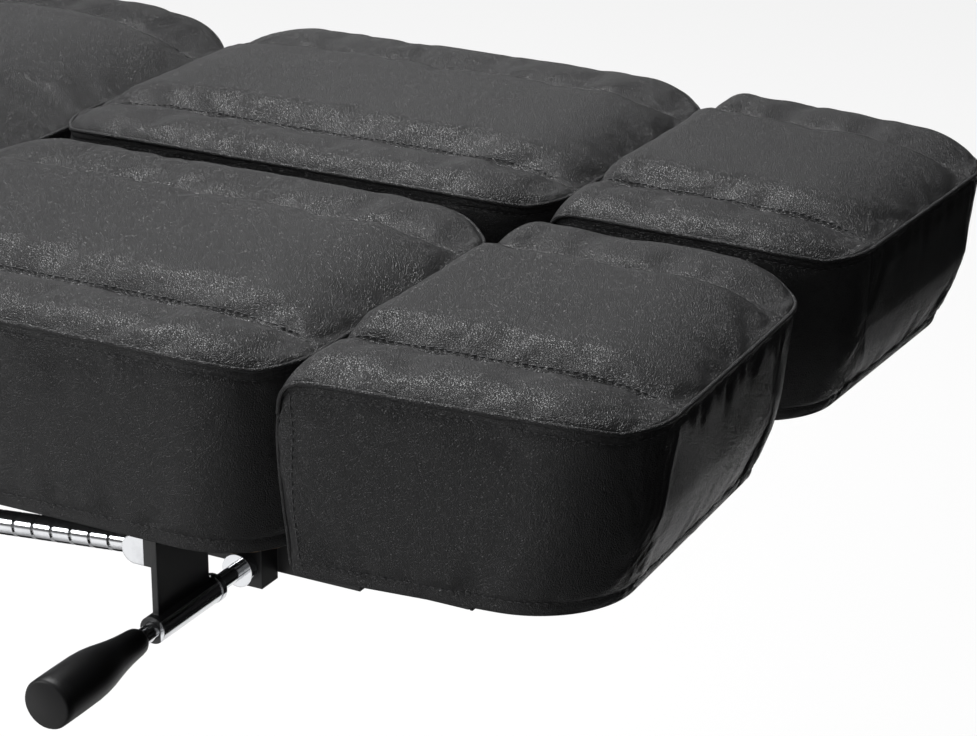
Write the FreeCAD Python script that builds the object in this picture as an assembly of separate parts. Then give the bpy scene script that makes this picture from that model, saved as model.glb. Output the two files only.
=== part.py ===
import FreeCAD, Part
import math
import os

# Tattoo chair with a hydraulic base, a flat-folding back and two separate legs, in millimetres.
# The origin is on the floor on the column's axis. +X runs to the feet, +Z up, and -Y is the near side.

V = FreeCAD.Vector
X = V(1, 0, 0)
Y = V(0, 1, 0)
Z = V(0, 0, 1)
overrun = 2.0
running = 0.05
slack = 0.3

# Pads. Every pad's hem lies at one level, and its piped edge at another.
hem_level = 660.0
edge_height = 118.0
board_thickness = 18.0
board_inset = 6.0
pad_width = 280.0
pad_split = 26.0
corner_radius = 54.0
corner_steps = 6
side_tuck = 4.0
roll_width = 61.0
roll_rise = 15.0
seam_rise = 9.0
panel_rise = 20.0
end_droop = 6.0
end_run = 78.0
tuft_share = 0.72
run_share = 0.35

seat_length = 500.0
seat_waterfall = 18.0
seat_waterfall_run = 130.0
leg_pad_length = 365.0
foot_pad_length = 200.0
foot_pad_gap = 4.0
toe_tuck = 22.0
back_length = 680.0
back_corner = 120.0
head_length = 214.0
head_width = 280.0
head_height = 74.0
head_hem_lift = 23.0
head_gap = 30.0

# Leg hinge and its rod.
hinge_x = 235.0
hinge_drop = 15.0
seat_end_gap = 5.0
leg_end_gap = 6.0
hinge_rod_radius = 6.0
knuckle_radius = 12.0
hinge_rod_end = 2.0

# Pressed steel channels.
wall = 3.0
seat_rail_size = 40.0
seat_rail_y = 205.0
seat_cross_inset = 80.0
light_rail_size = 25.0
leg_rail_y = 75.0
seat_knuckle_length = 20.0
knuckle_gap = 0.5
knuckle_web = 8.0

# Stay: a notched bar that telescopes in a tube, and the hanger that carries the bar.
pad_to_hanger = 82.0
hanger_thickness = 4.0
hanger_width = 50.0
hanger_side_inset = 14.0
hanger_strip_height = 22.0
hanger_strip_reach = 88.0
stay_pin_back = 14.0
stay_pin_drop = 14.0
stay_side_inset = 27.0
stay_slope = 5.3
stay_pin_radius = 4.0
stay_bar_radius = 7.0
stay_eye_radius = 8.5
stay_eye_width = 14.0
ear_thickness = 3.0
ear_gap = 0.6
notch_pitch = 13.0
notch_first = 19.0
notch_count = 12
notch_width = 2.4
notch_depth = 1.2
leg_drop = 80.0
stay_mouth_clear = 24.0
stay_overlap = 80.0
stay_tube_radius = 11.0
stay_collar_radius = 13.5
stay_collar_length = 26.0
stay_catch_radius = 5.0
stay_catch_height = 16.0
stay_pivot_radius = 5.0
stay_pivot_eye = 12.5
bracket_ear = 5.0
bracket_ear_round = 13.0

# Foot-slide clamp: a cross rod with a grip, a sleeve on the hanger and a block on the guide.
clamp_drop = 57.0
clamp_radius = 5.0
sleeve_radius = 8.0
sleeve_overhang = 4.0
grip_gap = 2.0
grip_length = 86.0
grip_radius = 14.4
grip_outline_shares = (
    (0.0, 0.52), (0.04, 0.63), (0.30, 0.78), (0.56, 1.0), (0.97, 1.0), (1.0, 0.88),
)
grip_round = 3.0
cap_radius = 11.6
cap_thickness = 3.0
clamp_collar_radius = 10.0
clamp_collar_length = 7.0
clamp_block = 24.0
clamp_block_length = 17.0
ring_radius = 8.5
ring_thickness = 4.0

# Foot slide.
guide_size = 40.0
guide_wall = 2.5
guide_start = 110.0
guide_end_inset = 15.0
slide_size = 34.0
slide_wall = 3.0
slide_start = 150.0
slide_reach = 150.0
foot_cross_size = 28.0
foot_cross_span = 190.0
foot_cross_first = 30.0
foot_cross_second = 112.0

# Back pivot, side plates and gas spring.
back_gap = 12.0
pivot_height = 125.0
pivot_bolt_radius = 8.0
pivot_head_radius = 13.0
pivot_head_length = 7.0
side_plate = 6.0
side_plate_clear = 6.0
plate_gap = 1.0
plate_eye = 22.0
back_rail_y = 150.0
back_cross_inset_shares = (0.075, 0.22, 0.46, 0.70, 0.93)
spring_radius = 280.0
spring_seat_angle = 30.0
spring_back_angle = 34.0
back_rise = 65.0
cylinder_radius = 12.0
cylinder_wall = 2.0
cylinder_neck_radius = 7.0
cylinder_start = 25.0
cylinder_length = 262.0
gland_length = 12.0
spring_rod_radius = 5.0
spring_rod_length = 264.0
spring_eye_radius = 11.0
spring_eye_width = 16.0
spring_pin_radius = 5.0
lug_thickness = 5.0
lug_round = 12.0

# Recline lever.
lever_x = -190.0
lever_drop = 60.0
lever_radius = 6.0
lever_inner = 150.0
lever_outer = 332.0
lever_arm = 110.0
lever_grip_radius = 12.0
lever_grip_length = 84.0
lever_lug_inner = 180.0
lever_lug_outer = 216.0
lever_lug_width = 24.0

# Headrest.
head_rod_radius = 7.0
head_rod_y = 70.0
head_rod_drop = 13.0
head_rod_inner = 200.0
head_sleeve_radius = 11.0
head_sleeve_length = 110.0
head_upright = 14.0
head_upright_width = 24.0
head_axle_radius = 8.0
head_axle_rise = 10.0
head_hub_radius = 13.0
head_hub_length = 20.0
head_hub_y = 42.0
head_plate_width = 116.0
head_plate_length = 130.0
head_plate_thickness = 5.0
head_board_thickness = 12.0
knob_radius = 10.0
knob_reach = 24.0
knob_wing = 8.0
knob_length = 16.0
knob_screw_radius = 4.0
head_knob_inset = 14.0
head_knob_gap = 3.0

# Arms.
arm_x = -120.0
arm_y = 370.0
arm_bar_height = 30.0
arm_bar_width = 40.0
socket_radius = 20.0
socket_low = 590.0
socket_high = 690.0
post_radius = 14.0
post_low = 560.0
arm_plate_level = 880.0
arm_hub_radius = 20.0
arm_hub_height = 18.0
arm_plate_length = 150.0
arm_plate_width = 70.0
arm_plate_thickness = 5.0
arm_pad_back = 140.0
arm_pad_length = 410.0
arm_pad_width = 130.0
arm_pad_edge = 46.0
arm_pad_crown = 12.0
arm_pad_radius = 40.0
arm_knob_rise = 60.0
arm_knob_reach = 12.0

# Base, pump and ram.
foot_height = 20.0
foot_radius = 28.0
centre_foot_radius = 46.0
base_length = 720.0
base_width = 560.0
base_thickness = 10.0
base_radius = 70.0
cover_inset = 4.0
cover_wall = 2.0
cover_skirt = 24.0
cover_height = 66.0
cover_top_length = 330.0
cover_top_width = 240.0
cover_corner = 52.0
cover_top_corner = 60.0
pump_flange_radius = 95.0
pump_flange_thickness = 14.0
pump_radius = 62.0
pump_height = 295.0
pump_shoulder = 25.0
pump_top_radius = 46.0
pump_floor = 8.0
collar_height = 18.0
collar_radius = 42.0
ram_radius = 28.0
ram_low = 190.0
hub_top_drop = 40.0
hub_height = 78.0
hub_radius = 46.0
hub_arm_x = 90.0
hub_arm_y = 110.0
hub_arm_width = 52.0
hub_arm_thickness = 12.0
pump_bolt_count = 6
pump_bolt_circle = 78.0
bolt_radius = 6.0
bolt_head = 7.0
bolt_head_across = 10.0

# Pedal.
pedal_z = 132.0
pedal_out = 84.0
pedal_reach = 250.0
pedal_rise = 18.0
pedal_width = 32.0
pedal_thickness = 12.0
pedal_hub_radius = 13.0
pedal_pin_radius = 6.0
pedal_ear = 8.0
pedal_ear_round = 15.0
tread_length = 92.0
tread_width = 54.0
tread_thickness = 14.0
tread_round = 8.0

# Places worked out from the sizes above.
edge_level = hem_level + edge_height
pad_centre_y = (pad_split + pad_width) / 2
full_width = pad_split + 2 * pad_width
leg_pad_start = hinge_x + leg_end_gap
leg_pad_end = leg_pad_start + leg_pad_length
foot_pad_start = leg_pad_end + foot_pad_gap
foot_pad_end = foot_pad_start + foot_pad_length
seat_foot_end = hinge_x - seat_end_gap
seat_head_end = seat_foot_end - seat_length
pivot_x = seat_head_end - back_gap / 2
pivot_z = hem_level + pivot_height
back_foot_end = seat_head_end - back_gap
back_head_end = back_foot_end - back_length
head_foot_end = back_head_end - head_gap
head_head_end = head_foot_end - head_length
hinge_z = hem_level - hinge_drop
seat_frame_low = hem_level - seat_rail_size
light_frame_low = hem_level - light_rail_size
hanger_x = leg_pad_end - pad_to_hanger
stay_pin_x = hanger_x - stay_pin_back
stay_pin_z = hem_level - stay_pin_drop
stay_y = pad_split / 2 + pad_width - stay_side_inset
clamp_z = hem_level - clamp_drop
guide_top = light_frame_low
guide_low = guide_top - guide_size
slide_z = guide_top - guide_size / 2


def block(x0, x1, y0, y1, z0, z1):
    return Part.makeBox(x1 - x0, y1 - y0, z1 - z0, V(x0, y0, z0))


def cylinder(radius, start, end):
    run = end - start
    return Part.makeCylinder(radius, run.Length, start, run)


def pipe(radius, bore, start, end):
    step = (end - start).normalize() * overrun
    return cylinder(radius, start, end).cut(cylinder(bore, start - step, end + step))


def polygon(points):
    return Part.Wire(Part.makePolygon(points + points[:1]))


def plate_xz(points, y0, y1):
    face = Part.Face(polygon([V(x, y0, z) for x, z in points]))
    return face.extrude(V(0, y1 - y0, 0))


def channel_x(x0, x1, yc, size, low, high):
    """A channel along X, open below."""
    outer = block(x0, x1, yc - size / 2, yc + size / 2, low, high)
    half = size / 2 - wall
    return outer.cut(block(x0 - overrun, x1 + overrun, yc - half, yc + half, low - overrun, high - wall))


def channel_y(y0, y1, xc, size, low, high):
    """A channel along Y, open below."""
    outer = block(xc - size / 2, xc + size / 2, y0, y1, low, high)
    half = size / 2 - wall
    return outer.cut(block(xc - half, xc + half, y0 - overrun, y1 + overrun, low - overrun, high - wall))


def fuse(shapes):
    body = shapes[0]
    if len(shapes) > 1:
        body = body.fuse(shapes[1:])
    return body.removeSplitter()


def group(shapes):
    return Part.makeCompound(shapes)


def rounded_wire(x0, x1, y0, y1, z, low_radius, high_radius):
    """A rectangle with one corner radius at x0 and another at x1, each corner in short straight steps."""
    corners = [
        (x1 - high_radius, y0 + high_radius, high_radius, -math.pi / 2),
        (x1 - high_radius, y1 - high_radius, high_radius, 0),
        (x0 + low_radius, y1 - low_radius, low_radius, math.pi / 2),
        (x0 + low_radius, y0 + low_radius, low_radius, math.pi),
    ]
    points = []
    for x, y, radius, start in corners:
        for i in range(corner_steps + 1):
            angle = start + math.pi / 2 * i / corner_steps
            points.append(V(x + radius * math.cos(angle), y + radius * math.sin(angle), z))
    return polygon(points)


def rounded_prism(x0, x1, y0, y1, z0, z1, low_radius, high_radius):
    face = Part.Face(rounded_wire(x0, x1, y0, y1, z0, low_radius, high_radius))
    return face.extrude(V(0, 0, z1 - z0))


def arc_profile(points, bulges, place, run):
    """A closed profile whose span i is an arc through bulges[i], or a line where that is None."""
    edges = []
    for start, end, middle in zip(points, points[1:] + points[:1], bulges):
        if middle is None:
            edges.append(Part.LineSegment(place(*start), place(*end)).toShape())
        else:
            edges.append(Part.Arc(place(*start), place(*middle), place(*end)).toShape())
    return Part.Face(Part.Wire(edges)).extrude(run)


def cushion(x0, x1, yc, width, hem, edge, radii, rises, head, foot, tucks, roll):
    """A boxed cushion: drawn-in sides, a piped edge, two side rolls, a middle panel and drooping ends.

    radii are the plan corners at x0 and x1, rises the roll, the seam and the panel above the edge,
    head and foot the droop and run of each end, and tucks the hem's inset at x0, at the sides and at x1.
    """
    y0 = yc - width / 2
    y1 = yc + width / 2
    height = edge - hem
    tuck_shares = ((0.0, 1.0), (0.3, 1.08), (0.65, 0.62), (1.0, 0.0))
    wires = []
    for level_share, tuck_share in tuck_shares:
        low, side, high = [tuck_share * tuck for tuck in tucks]
        wires.append(rounded_wire(x0 + low, x1 - high, y0 + side, y1 - side, hem + level_share * height,
                                  radii[0], radii[1]))
    sides = Part.makeLoft(wires, True, True)
    peak = edge + rises[2] + overrun
    body = sides.fuse(rounded_prism(x0, x1, y0, y1, edge, peak, radii[0], radii[1]))

    floor = hem - overrun
    seam = edge + rises[1]
    across = arc_profile(
        [(y0 - overrun, floor), (y1 + overrun, floor), (y1 + overrun, edge), (y1, edge), (y1 - roll, seam),
         (y0 + roll, seam), (y0, edge), (y0 - overrun, edge)],
        [None, None, None, (y1 - roll / 2, edge + rises[0]), (yc, edge + rises[2]),
         (y0 + roll / 2, edge + rises[0]), None, None],
        lambda y, z: V(x0 - overrun, y, z), V(x1 - x0 + 2 * overrun, 0, 0))

    low_edge = edge - head[0]
    high_edge = edge - foot[0]
    along = arc_profile(
        [(x0 - overrun, floor), (x1 + overrun, floor), (x1 + overrun, high_edge), (x1, high_edge),
         (x1 - foot[1], peak), (x0 + head[1], peak), (x0, low_edge), (x0 - overrun, low_edge)],
        [None, None, None, (x1 - run_share * foot[1], high_edge + tuft_share * (peak - high_edge)), None,
         (x0 + run_share * head[1], low_edge + tuft_share * (peak - low_edge)), None, None],
        lambda x, z: V(x, y0 - overrun, z), V(0, width + 2 * overrun, 0))
    return body.common(across).common(along)


def board(x0, x1, yc, width, hem, thickness, radii):
    inset = board_inset
    return rounded_prism(x0 + inset, x1 - inset, yc - width / 2 + inset, yc + width / 2 - inset, hem,
                         hem + thickness, radii[0] - inset, radii[1] - inset)


def hex_bolt(top, axis, length):
    """A bolt whose head stands on the point top, with its shank running back along the axis."""
    turn = FreeCAD.Rotation(Z, axis)
    angles = [2 * math.pi * i / 6 for i in range(6)]
    corners = [V(bolt_head_across * math.cos(angle), bolt_head_across * math.sin(angle), 0) for angle in angles]
    head = Part.Face(polygon(corners)).extrude(V(0, 0, bolt_head))
    shank = Part.makeCylinder(bolt_radius, length, V(0, 0, -length))
    bolt = head.fuse(shank)
    bolt.Placement = FreeCAD.Placement(top, turn)
    return bolt


def wing_knob(centre, axis, screw_length):
    """A knob with two tapered wings that turns a screw; the screw runs from the centre against the axis."""
    hub = Part.makeCylinder(knob_radius, knob_length)
    profile = polygon([
        V(-knob_reach, -knob_wing / 2, 0), V(knob_reach, -knob_wing / 2, 0), V(knob_reach, -knob_wing / 2, knob_length),
        V(0, -knob_wing / 2, knob_length * tuft_share), V(-knob_reach, -knob_wing / 2, knob_length),
    ])
    wings = Part.Face(profile).extrude(V(0, knob_wing, 0))
    screw = Part.makeCylinder(knob_screw_radius, screw_length, V(0, 0, -screw_length))
    knob = fuse([hub, wings, screw])
    knob.Placement = FreeCAD.Placement(centre, FreeCAD.Rotation(Z, axis))
    return knob


def base_plate():
    low = foot_height
    return rounded_prism(-base_length / 2, base_length / 2, -base_width / 2, base_width / 2, low,
                         low + base_thickness, base_radius, base_radius)


def base_feet():
    reach_x = base_length / 2 - base_radius
    reach_y = base_width / 2 - base_radius
    places = [(sx * reach_x, sy * reach_y, foot_radius) for sx in (-1, 0, 1) for sy in (-1, 1)]
    places.append((0, 0, centre_foot_radius))
    return group([cylinder(radius, V(x, y, 0), V(x, y, foot_height)) for x, y, radius in places])


def frustum(loops):
    """A solid with flat sides between level loops of as many points each."""
    faces = [Part.Face(polygon(loops[0])), Part.Face(polygon(loops[-1]))]
    for lower, upper in zip(loops, loops[1:]):
        for i in range(len(lower)):
            faces.append(Part.Face(polygon([lower[i - 1], lower[i], upper[i], upper[i - 1]])))
    return Part.Solid(Part.Shell(faces))


def base_cover():
    """A pressed cover with a level rim, eight slopes and a flat top, open below and around the pump."""
    low = foot_height + base_thickness

    def loop(length, width, corner, inset, z):
        x = length / 2 - inset
        y = width / 2 - inset
        return [V(x, y - corner, z), V(x - corner, y, z), V(corner - x, y, z), V(-x, y - corner, z),
                V(-x, corner - y, z), V(corner - x, -y, z), V(x - corner, -y, z), V(x, corner - y, z)]

    def hull(inset, base, skirt, top):
        return frustum([
            loop(base_length - 2 * cover_inset, base_width - 2 * cover_inset, cover_corner, inset, base),
            loop(base_length - 2 * cover_inset, base_width - 2 * cover_inset, cover_corner, inset, skirt),
            loop(cover_top_length, cover_top_width, cover_top_corner, inset, top),
        ])

    skirt = low + cover_skirt
    top = low + cover_height
    hole = cylinder(pump_radius + cover_wall, V(0, 0, low), V(0, 0, top + overrun))
    outer = hull(0, low, skirt, top)
    return outer.cut(hull(cover_wall, low - overrun, skirt - cover_wall, top - cover_wall)).cut(hole)


def pump_body():
    low = foot_height + base_thickness
    top = low + pump_height
    outline = [
        Part.LineSegment(V(0, 0, low), V(pump_flange_radius, 0, low)),
        Part.LineSegment(V(pump_flange_radius, 0, low), V(pump_flange_radius, 0, low + pump_flange_thickness)),
        Part.LineSegment(V(pump_flange_radius, 0, low + pump_flange_thickness),
                         V(pump_radius, 0, low + pump_flange_thickness)),
        Part.LineSegment(V(pump_radius, 0, low + pump_flange_thickness), V(pump_radius, 0, top - pump_shoulder)),
        Part.LineSegment(V(pump_radius, 0, top - pump_shoulder), V(pump_top_radius, 0, top)),
        Part.LineSegment(V(pump_top_radius, 0, top), V(0, 0, top)),
        Part.LineSegment(V(0, 0, top), V(0, 0, low)),
    ]
    body = Part.Face(Part.Wire([edge.toShape() for edge in outline])).revolve(V(0, 0, 0), Z, 360)
    body = body.cut(cylinder(ram_radius + running, V(0, 0, low + pump_floor), V(0, 0, top + overrun)))
    half = pedal_width / 2
    for side in (-1, 1):
        inner = side * (half + knuckle_gap)
        outer = inner + side * pedal_ear
        x0, x1 = sorted((inner, outer))
        ear = block(x0, x1, -pedal_out, -pump_radius * tuft_share, pedal_z - pedal_ear_round,
                    pedal_z + pedal_ear_round)
        ear = ear.fuse(cylinder(pedal_ear_round, V(x0, -pedal_out, pedal_z), V(x1, -pedal_out, pedal_z)))
        body = body.fuse(ear)
    reach = half + knuckle_gap + pedal_ear
    pin = cylinder(pedal_pin_radius, V(-reach, -pedal_out, pedal_z), V(reach, -pedal_out, pedal_z))
    return body.fuse(pin)


def pump_collar():
    low = foot_height + base_thickness + pump_height
    return pipe(collar_radius, ram_radius + running, V(0, 0, low), V(0, 0, low + collar_height))


def pump_bolts():
    top = foot_height + base_thickness + pump_flange_thickness
    bolts = []
    for i in range(pump_bolt_count):
        angle = 2 * math.pi * (i + 0.5) / pump_bolt_count
        place = V(pump_bolt_circle * math.cos(angle), pump_bolt_circle * math.sin(angle), top)
        bolts.append(hex_bolt(place, Z, pump_flange_thickness / 2))
    return bolts


def pump_pedal():
    half = pedal_width / 2
    end_y = -pedal_out - pedal_reach
    hub = cylinder(pedal_hub_radius, V(-half, -pedal_out, pedal_z), V(half, -pedal_out, pedal_z))
    low = pedal_z - pedal_thickness / 2
    profile = polygon([
        V(-half, -pedal_out, low), V(-half, -pedal_out, low + pedal_thickness),
        V(-half, end_y, low + pedal_thickness + pedal_rise), V(-half, end_y, low + pedal_rise),
    ])
    bar = Part.Face(profile).extrude(V(pedal_width, 0, 0))
    bore = cylinder(pedal_pin_radius + running, V(-half - overrun, -pedal_out, pedal_z),
                    V(half + overrun, -pedal_out, pedal_z))
    return hub.fuse(bar).cut(bore)


def pedal_tread():
    end_y = -pedal_out - pedal_reach
    top = pedal_z + pedal_thickness / 2 + pedal_rise
    pad = rounded_prism(-tread_length / 2, tread_length / 2, end_y - tread_width / 2, end_y + tread_width / 2,
                        top - pedal_thickness, top + tread_thickness - pedal_thickness / 2, tread_round, tread_round)
    return pad.cut(pump_pedal())


def lift_ram():
    top = hem_level - hub_top_drop
    return cylinder(ram_radius, V(0, 0, ram_low), V(0, 0, top - pump_floor))


def swivel_hub():
    top = hem_level - seat_rail_size
    low = top - hub_height
    hub = cylinder(hub_radius, V(0, 0, low), V(0, 0, top))
    arms = []
    for side in (-1, 1):
        arms.append(block(-hub_arm_x - hub_arm_width / 2, hub_arm_x + hub_arm_width / 2,
                          side * hub_arm_y - hub_arm_width / 2, side * hub_arm_y + hub_arm_width / 2,
                          top - hub_arm_thickness, top))
        y0, y1 = sorted((0, side * hub_arm_y))
        arms.append(block(-hub_arm_width / 2, hub_arm_width / 2, y0, y1, top - hub_arm_thickness, top))
        ends = ((0, low + hub_arm_thickness), (0, top), (side * hub_arm_y, top),
                (side * hub_arm_y, top - hub_arm_thickness))
        rib = Part.Face(polygon([V(-knuckle_web / 2, y, z) for y, z in ends]))
        arms.append(rib.extrude(V(knuckle_web, 0, 0)))
    body = fuse([hub] + arms)
    socket = cylinder(ram_radius + running, V(0, 0, low - overrun), V(0, 0, top - pump_floor))
    return body.cut(socket)


def seat_bolts():
    low = hem_level - seat_rail_size - hub_arm_thickness
    bolts = []
    for sx in (-1, 1):
        for sy in (-1, 1):
            place = V(sx * hub_arm_x, sy * hub_arm_y, low)
            bolts.append(hex_bolt(place, V(0, 0, -1), hub_arm_thickness / 2))
    return bolts


def stay_points():
    """The leg hinge H, the bar's pin P and the tube's pivot B, as far from H as P is."""
    slope = math.radians(stay_slope)
    along = V(-math.cos(slope), 0, -math.sin(slope))
    hinge = V(hinge_x, 0, hinge_z)
    pin = V(stay_pin_x, 0, stay_pin_z)
    reach = 2 * (hinge - pin).dot(along)
    half_angle = math.asin(reach / 2 / (hinge - pin).Length)
    folded = 2 * (hinge - pin).Length * math.sin(half_angle - math.radians(leg_drop / 2))
    return pin, pin + along * reach, along, reach, folded


def seat_frame():
    low = seat_frame_low
    foot_cross = seat_foot_end - seat_rail_size
    head_cross = seat_head_end + seat_cross_inset
    plate_y = full_width / 2 + side_plate_clear
    rails = [channel_x(head_cross, foot_cross, side * seat_rail_y, seat_rail_size, low, hem_level)
             for side in (-1, 1)]
    inner = seat_rail_y + seat_rail_size / 2
    spring_x = pivot_x + spring_radius * math.sin(math.radians(spring_seat_angle))
    crosses = [channel_y(-inner, inner, x, seat_rail_size, low, hem_level)
               for x in (foot_cross, hub_arm_x, -hub_arm_x, spring_x)]
    crosses.append(channel_y(-plate_y, plate_y, head_cross, seat_rail_size, low, hem_level))

    knuckles = []
    bores = []
    for leg in (-1, 1):
        for side in (-1, 1):
            near = leg_rail_y - light_rail_size / 2 - knuckle_gap
            centre = leg * pad_centre_y + side * (near - seat_knuckle_length / 2)
            y0 = centre - seat_knuckle_length / 2
            y1 = centre + seat_knuckle_length / 2
            knuckles.append(cylinder(knuckle_radius, V(hinge_x, y0, hinge_z), V(hinge_x, y1, hinge_z)))
            web_x = foot_cross + seat_rail_size / 2 - wall / 2
            knuckles.append(block(web_x, hinge_x, centre - knuckle_web / 2, centre + knuckle_web / 2,
                                  hinge_z - knuckle_radius, hinge_z + knuckle_radius))
            bores.append(cylinder(hinge_rod_radius, V(hinge_x, y0 - overrun, hinge_z),
                                  V(hinge_x, y1 + overrun, hinge_z)))

    pin, pivot, along, reach, folded = stay_points()
    brackets = []
    for side in (-1, 1):
        centre = side * stay_y
        half = stay_tube_radius + knuckle_gap
        outer = centre + side * (half + bracket_ear)
        y0, y1 = sorted((side * (inner - wall), outer))
        brackets.append(block(pivot.x - bracket_ear_round, pivot.x + bracket_ear_round, y0, y1,
                              hem_level - bracket_ear, hem_level))
        for lean in (-1, 1):
            a = centre + lean * half
            b = a + lean * bracket_ear
            e0, e1 = sorted((a, b))
            brackets.append(block(pivot.x - bracket_ear_round, pivot.x + bracket_ear_round, e0, e1, pivot.z,
                                  hem_level))
            brackets.append(cylinder(bracket_ear_round, V(pivot.x, e0, pivot.z), V(pivot.x, e1, pivot.z)))
        reach_y = half + bracket_ear
        brackets.append(cylinder(stay_pivot_radius, V(pivot.x, centre - reach_y, pivot.z),
                                 V(pivot.x, centre + reach_y, pivot.z)))

    spring_z = pivot_z - spring_radius * math.cos(math.radians(spring_seat_angle))
    lugs = lug_pair(spring_x, spring_z, hem_level - wall)
    levers = []
    lever_z = hem_level - lever_drop
    for y in (lever_lug_inner, lever_lug_outer):
        y1 = -y
        y0 = y1 - lug_thickness
        plate = block(lever_x - lever_lug_width / 2, lever_x + lever_lug_width / 2, y0, y1, lever_z, hem_level - wall)
        round_end = cylinder(lever_lug_width / 2, V(lever_x, y0, lever_z), V(lever_x, y1, lever_z))
        bores.append(cylinder(lever_radius + running, V(lever_x, y0 - overrun, lever_z),
                              V(lever_x, y1 + overrun, lever_z)))
        levers += [plate, round_end]
    lever_bar = block(lever_x - lever_lug_width / 2, lever_x + lever_lug_width / 2, -lever_lug_outer - lug_thickness,
                      -lever_lug_inner, hem_level - wall - lug_thickness, hem_level - wall)
    body = fuse(rails + crosses + knuckles + brackets + lugs + levers + [lever_bar])
    for bore in bores:
        body = body.cut(bore)
    return body


def lug_pair(x, z, top):
    """Two lugs that hang from a cross channel and hold a gas-spring eye on a pin."""
    half = spring_eye_width / 2 + knuckle_gap
    shapes = []
    for lean in (-1, 1):
        e0, e1 = sorted((lean * half, lean * (half + lug_thickness)))
        shapes.append(block(x - lug_round, x + lug_round, e0, e1, z, top))
        shapes.append(cylinder(lug_round, V(x, e0, z), V(x, e1, z)))
    reach = half + lug_thickness
    shapes.append(cylinder(spring_pin_radius, V(x, -reach, z), V(x, reach, z)))
    return shapes


def leg_hinge_rod():
    reach = pad_centre_y + leg_rail_y + light_rail_size / 2 + hinge_rod_end
    return cylinder(hinge_rod_radius, V(hinge_x, -reach, hinge_z), V(hinge_x, reach, hinge_z))


def pivot_strap(points, y0, y1):
    """A flat plate with a round eye at the back pivot, bored for its bolt."""
    plate = plate_xz(points, y0, y1)
    eye = cylinder(plate_eye, V(pivot_x, y0, pivot_z), V(pivot_x, y1, pivot_z))
    bore = cylinder(pivot_bolt_radius + running, V(pivot_x, y0 - overrun, pivot_z), V(pivot_x, y1 + overrun, pivot_z))
    return fuse([plate, eye]).cut(bore)


def back_side_plates():
    inner = full_width / 2 + side_plate_clear
    foot = seat_head_end + seat_cross_inset
    half = seat_rail_size / 2
    points = [
        (foot - half, seat_frame_low), (foot + half, seat_frame_low), (foot + half, hem_level),
        (pivot_x + plate_eye, pivot_z), (pivot_x - plate_eye, pivot_z),
    ]
    shapes = []
    for side in (-1, 1):
        y0, y1 = sorted((side * inner, side * (inner + side_plate)))
        shapes.append(pivot_strap(points, y0, y1))
        shoulder = side * (inner + 2 * side_plate + plate_gap + slack)
        bolt = cylinder(pivot_bolt_radius, V(pivot_x, side * inner, pivot_z), V(pivot_x, shoulder, pivot_z))
        head = cylinder(pivot_head_radius, V(pivot_x, shoulder, pivot_z),
                        V(pivot_x, shoulder + side * pivot_head_length, pivot_z))
        nut = cylinder(pivot_head_radius, V(pivot_x, side * (inner - side_plate_clear + knuckle_gap), pivot_z),
                       V(pivot_x, side * inner, pivot_z))
        shapes.append(fuse([bolt, head, nut]))
    return group(shapes)


def back_frame():
    low = light_frame_low
    xs = [back_foot_end - share * back_length for share in back_cross_inset_shares]
    spring_x = pivot_x - spring_radius * math.sin(math.radians(spring_back_angle))
    spring_z = pivot_z - spring_radius * math.cos(math.radians(spring_back_angle))
    xs[1] = spring_x
    inner = back_rail_y + light_rail_size / 2
    plate_y = full_width / 2 + side_plate_clear + side_plate + plate_gap
    rails = [channel_x(xs[-1], xs[0], side * back_rail_y, light_rail_size, low, hem_level) for side in (-1, 1)]
    crosses = [channel_y(-inner, inner, x, light_rail_size, low, hem_level) for x in xs[1:]]
    crosses.append(channel_y(-plate_y, plate_y, xs[0], light_rail_size, low, hem_level))
    half = light_rail_size / 2
    points = [
        (xs[0] + half, low), (xs[0] - half, low), (xs[0] - half, hem_level),
        (pivot_x - plate_eye, pivot_z), (pivot_x + plate_eye, pivot_z), (xs[0] + half + plate_eye, hem_level),
    ]
    ears = []
    for side in (-1, 1):
        y0, y1 = sorted((side * plate_y, side * (plate_y + side_plate)))
        ears.append(pivot_strap(points, y0, y1))
    rod_z = hem_level - head_rod_drop
    sleeves = []
    bores = []
    for side in (-1, 1):
        y = side * head_rod_y
        start = V(back_head_end, y, rod_z)
        end = V(back_head_end + head_sleeve_length, y, rod_z)
        sleeves.append(cylinder(head_sleeve_radius, start, end))
        bores.append(cylinder(head_rod_radius + running, start - X * overrun,
                              V(back_head_end + head_rod_inner + head_sleeve_length, y, rod_z)))
    knob_x = back_head_end + head_knob_inset
    bores.append(cylinder(knob_screw_radius + running, V(knob_x, head_rod_y, rod_z - head_sleeve_radius - overrun),
                          V(knob_x, head_rod_y, rod_z)))
    body = fuse(rails + crosses + ears + sleeves + lug_pair(spring_x, spring_z, hem_level - wall))
    for bore in bores:
        body = body.cut(bore)
    return body


def gas_points():
    pivot = V(pivot_x, 0, pivot_z)
    a = math.radians(spring_seat_angle)
    b = math.radians(spring_back_angle)
    seat_eye = pivot + V(spring_radius * math.sin(a), 0, -spring_radius * math.cos(a))
    back_eye = pivot + V(-spring_radius * math.sin(b), 0, -spring_radius * math.cos(b))
    return seat_eye, back_eye


def spring_eye(centre):
    half = V(0, spring_eye_width / 2, 0)
    return cylinder(spring_eye_radius, centre - half, centre + half)


def eye_bore(centre):
    half = V(0, spring_eye_width / 2 + overrun, 0)
    return cylinder(spring_pin_radius + running, centre - half, centre + half)


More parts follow.
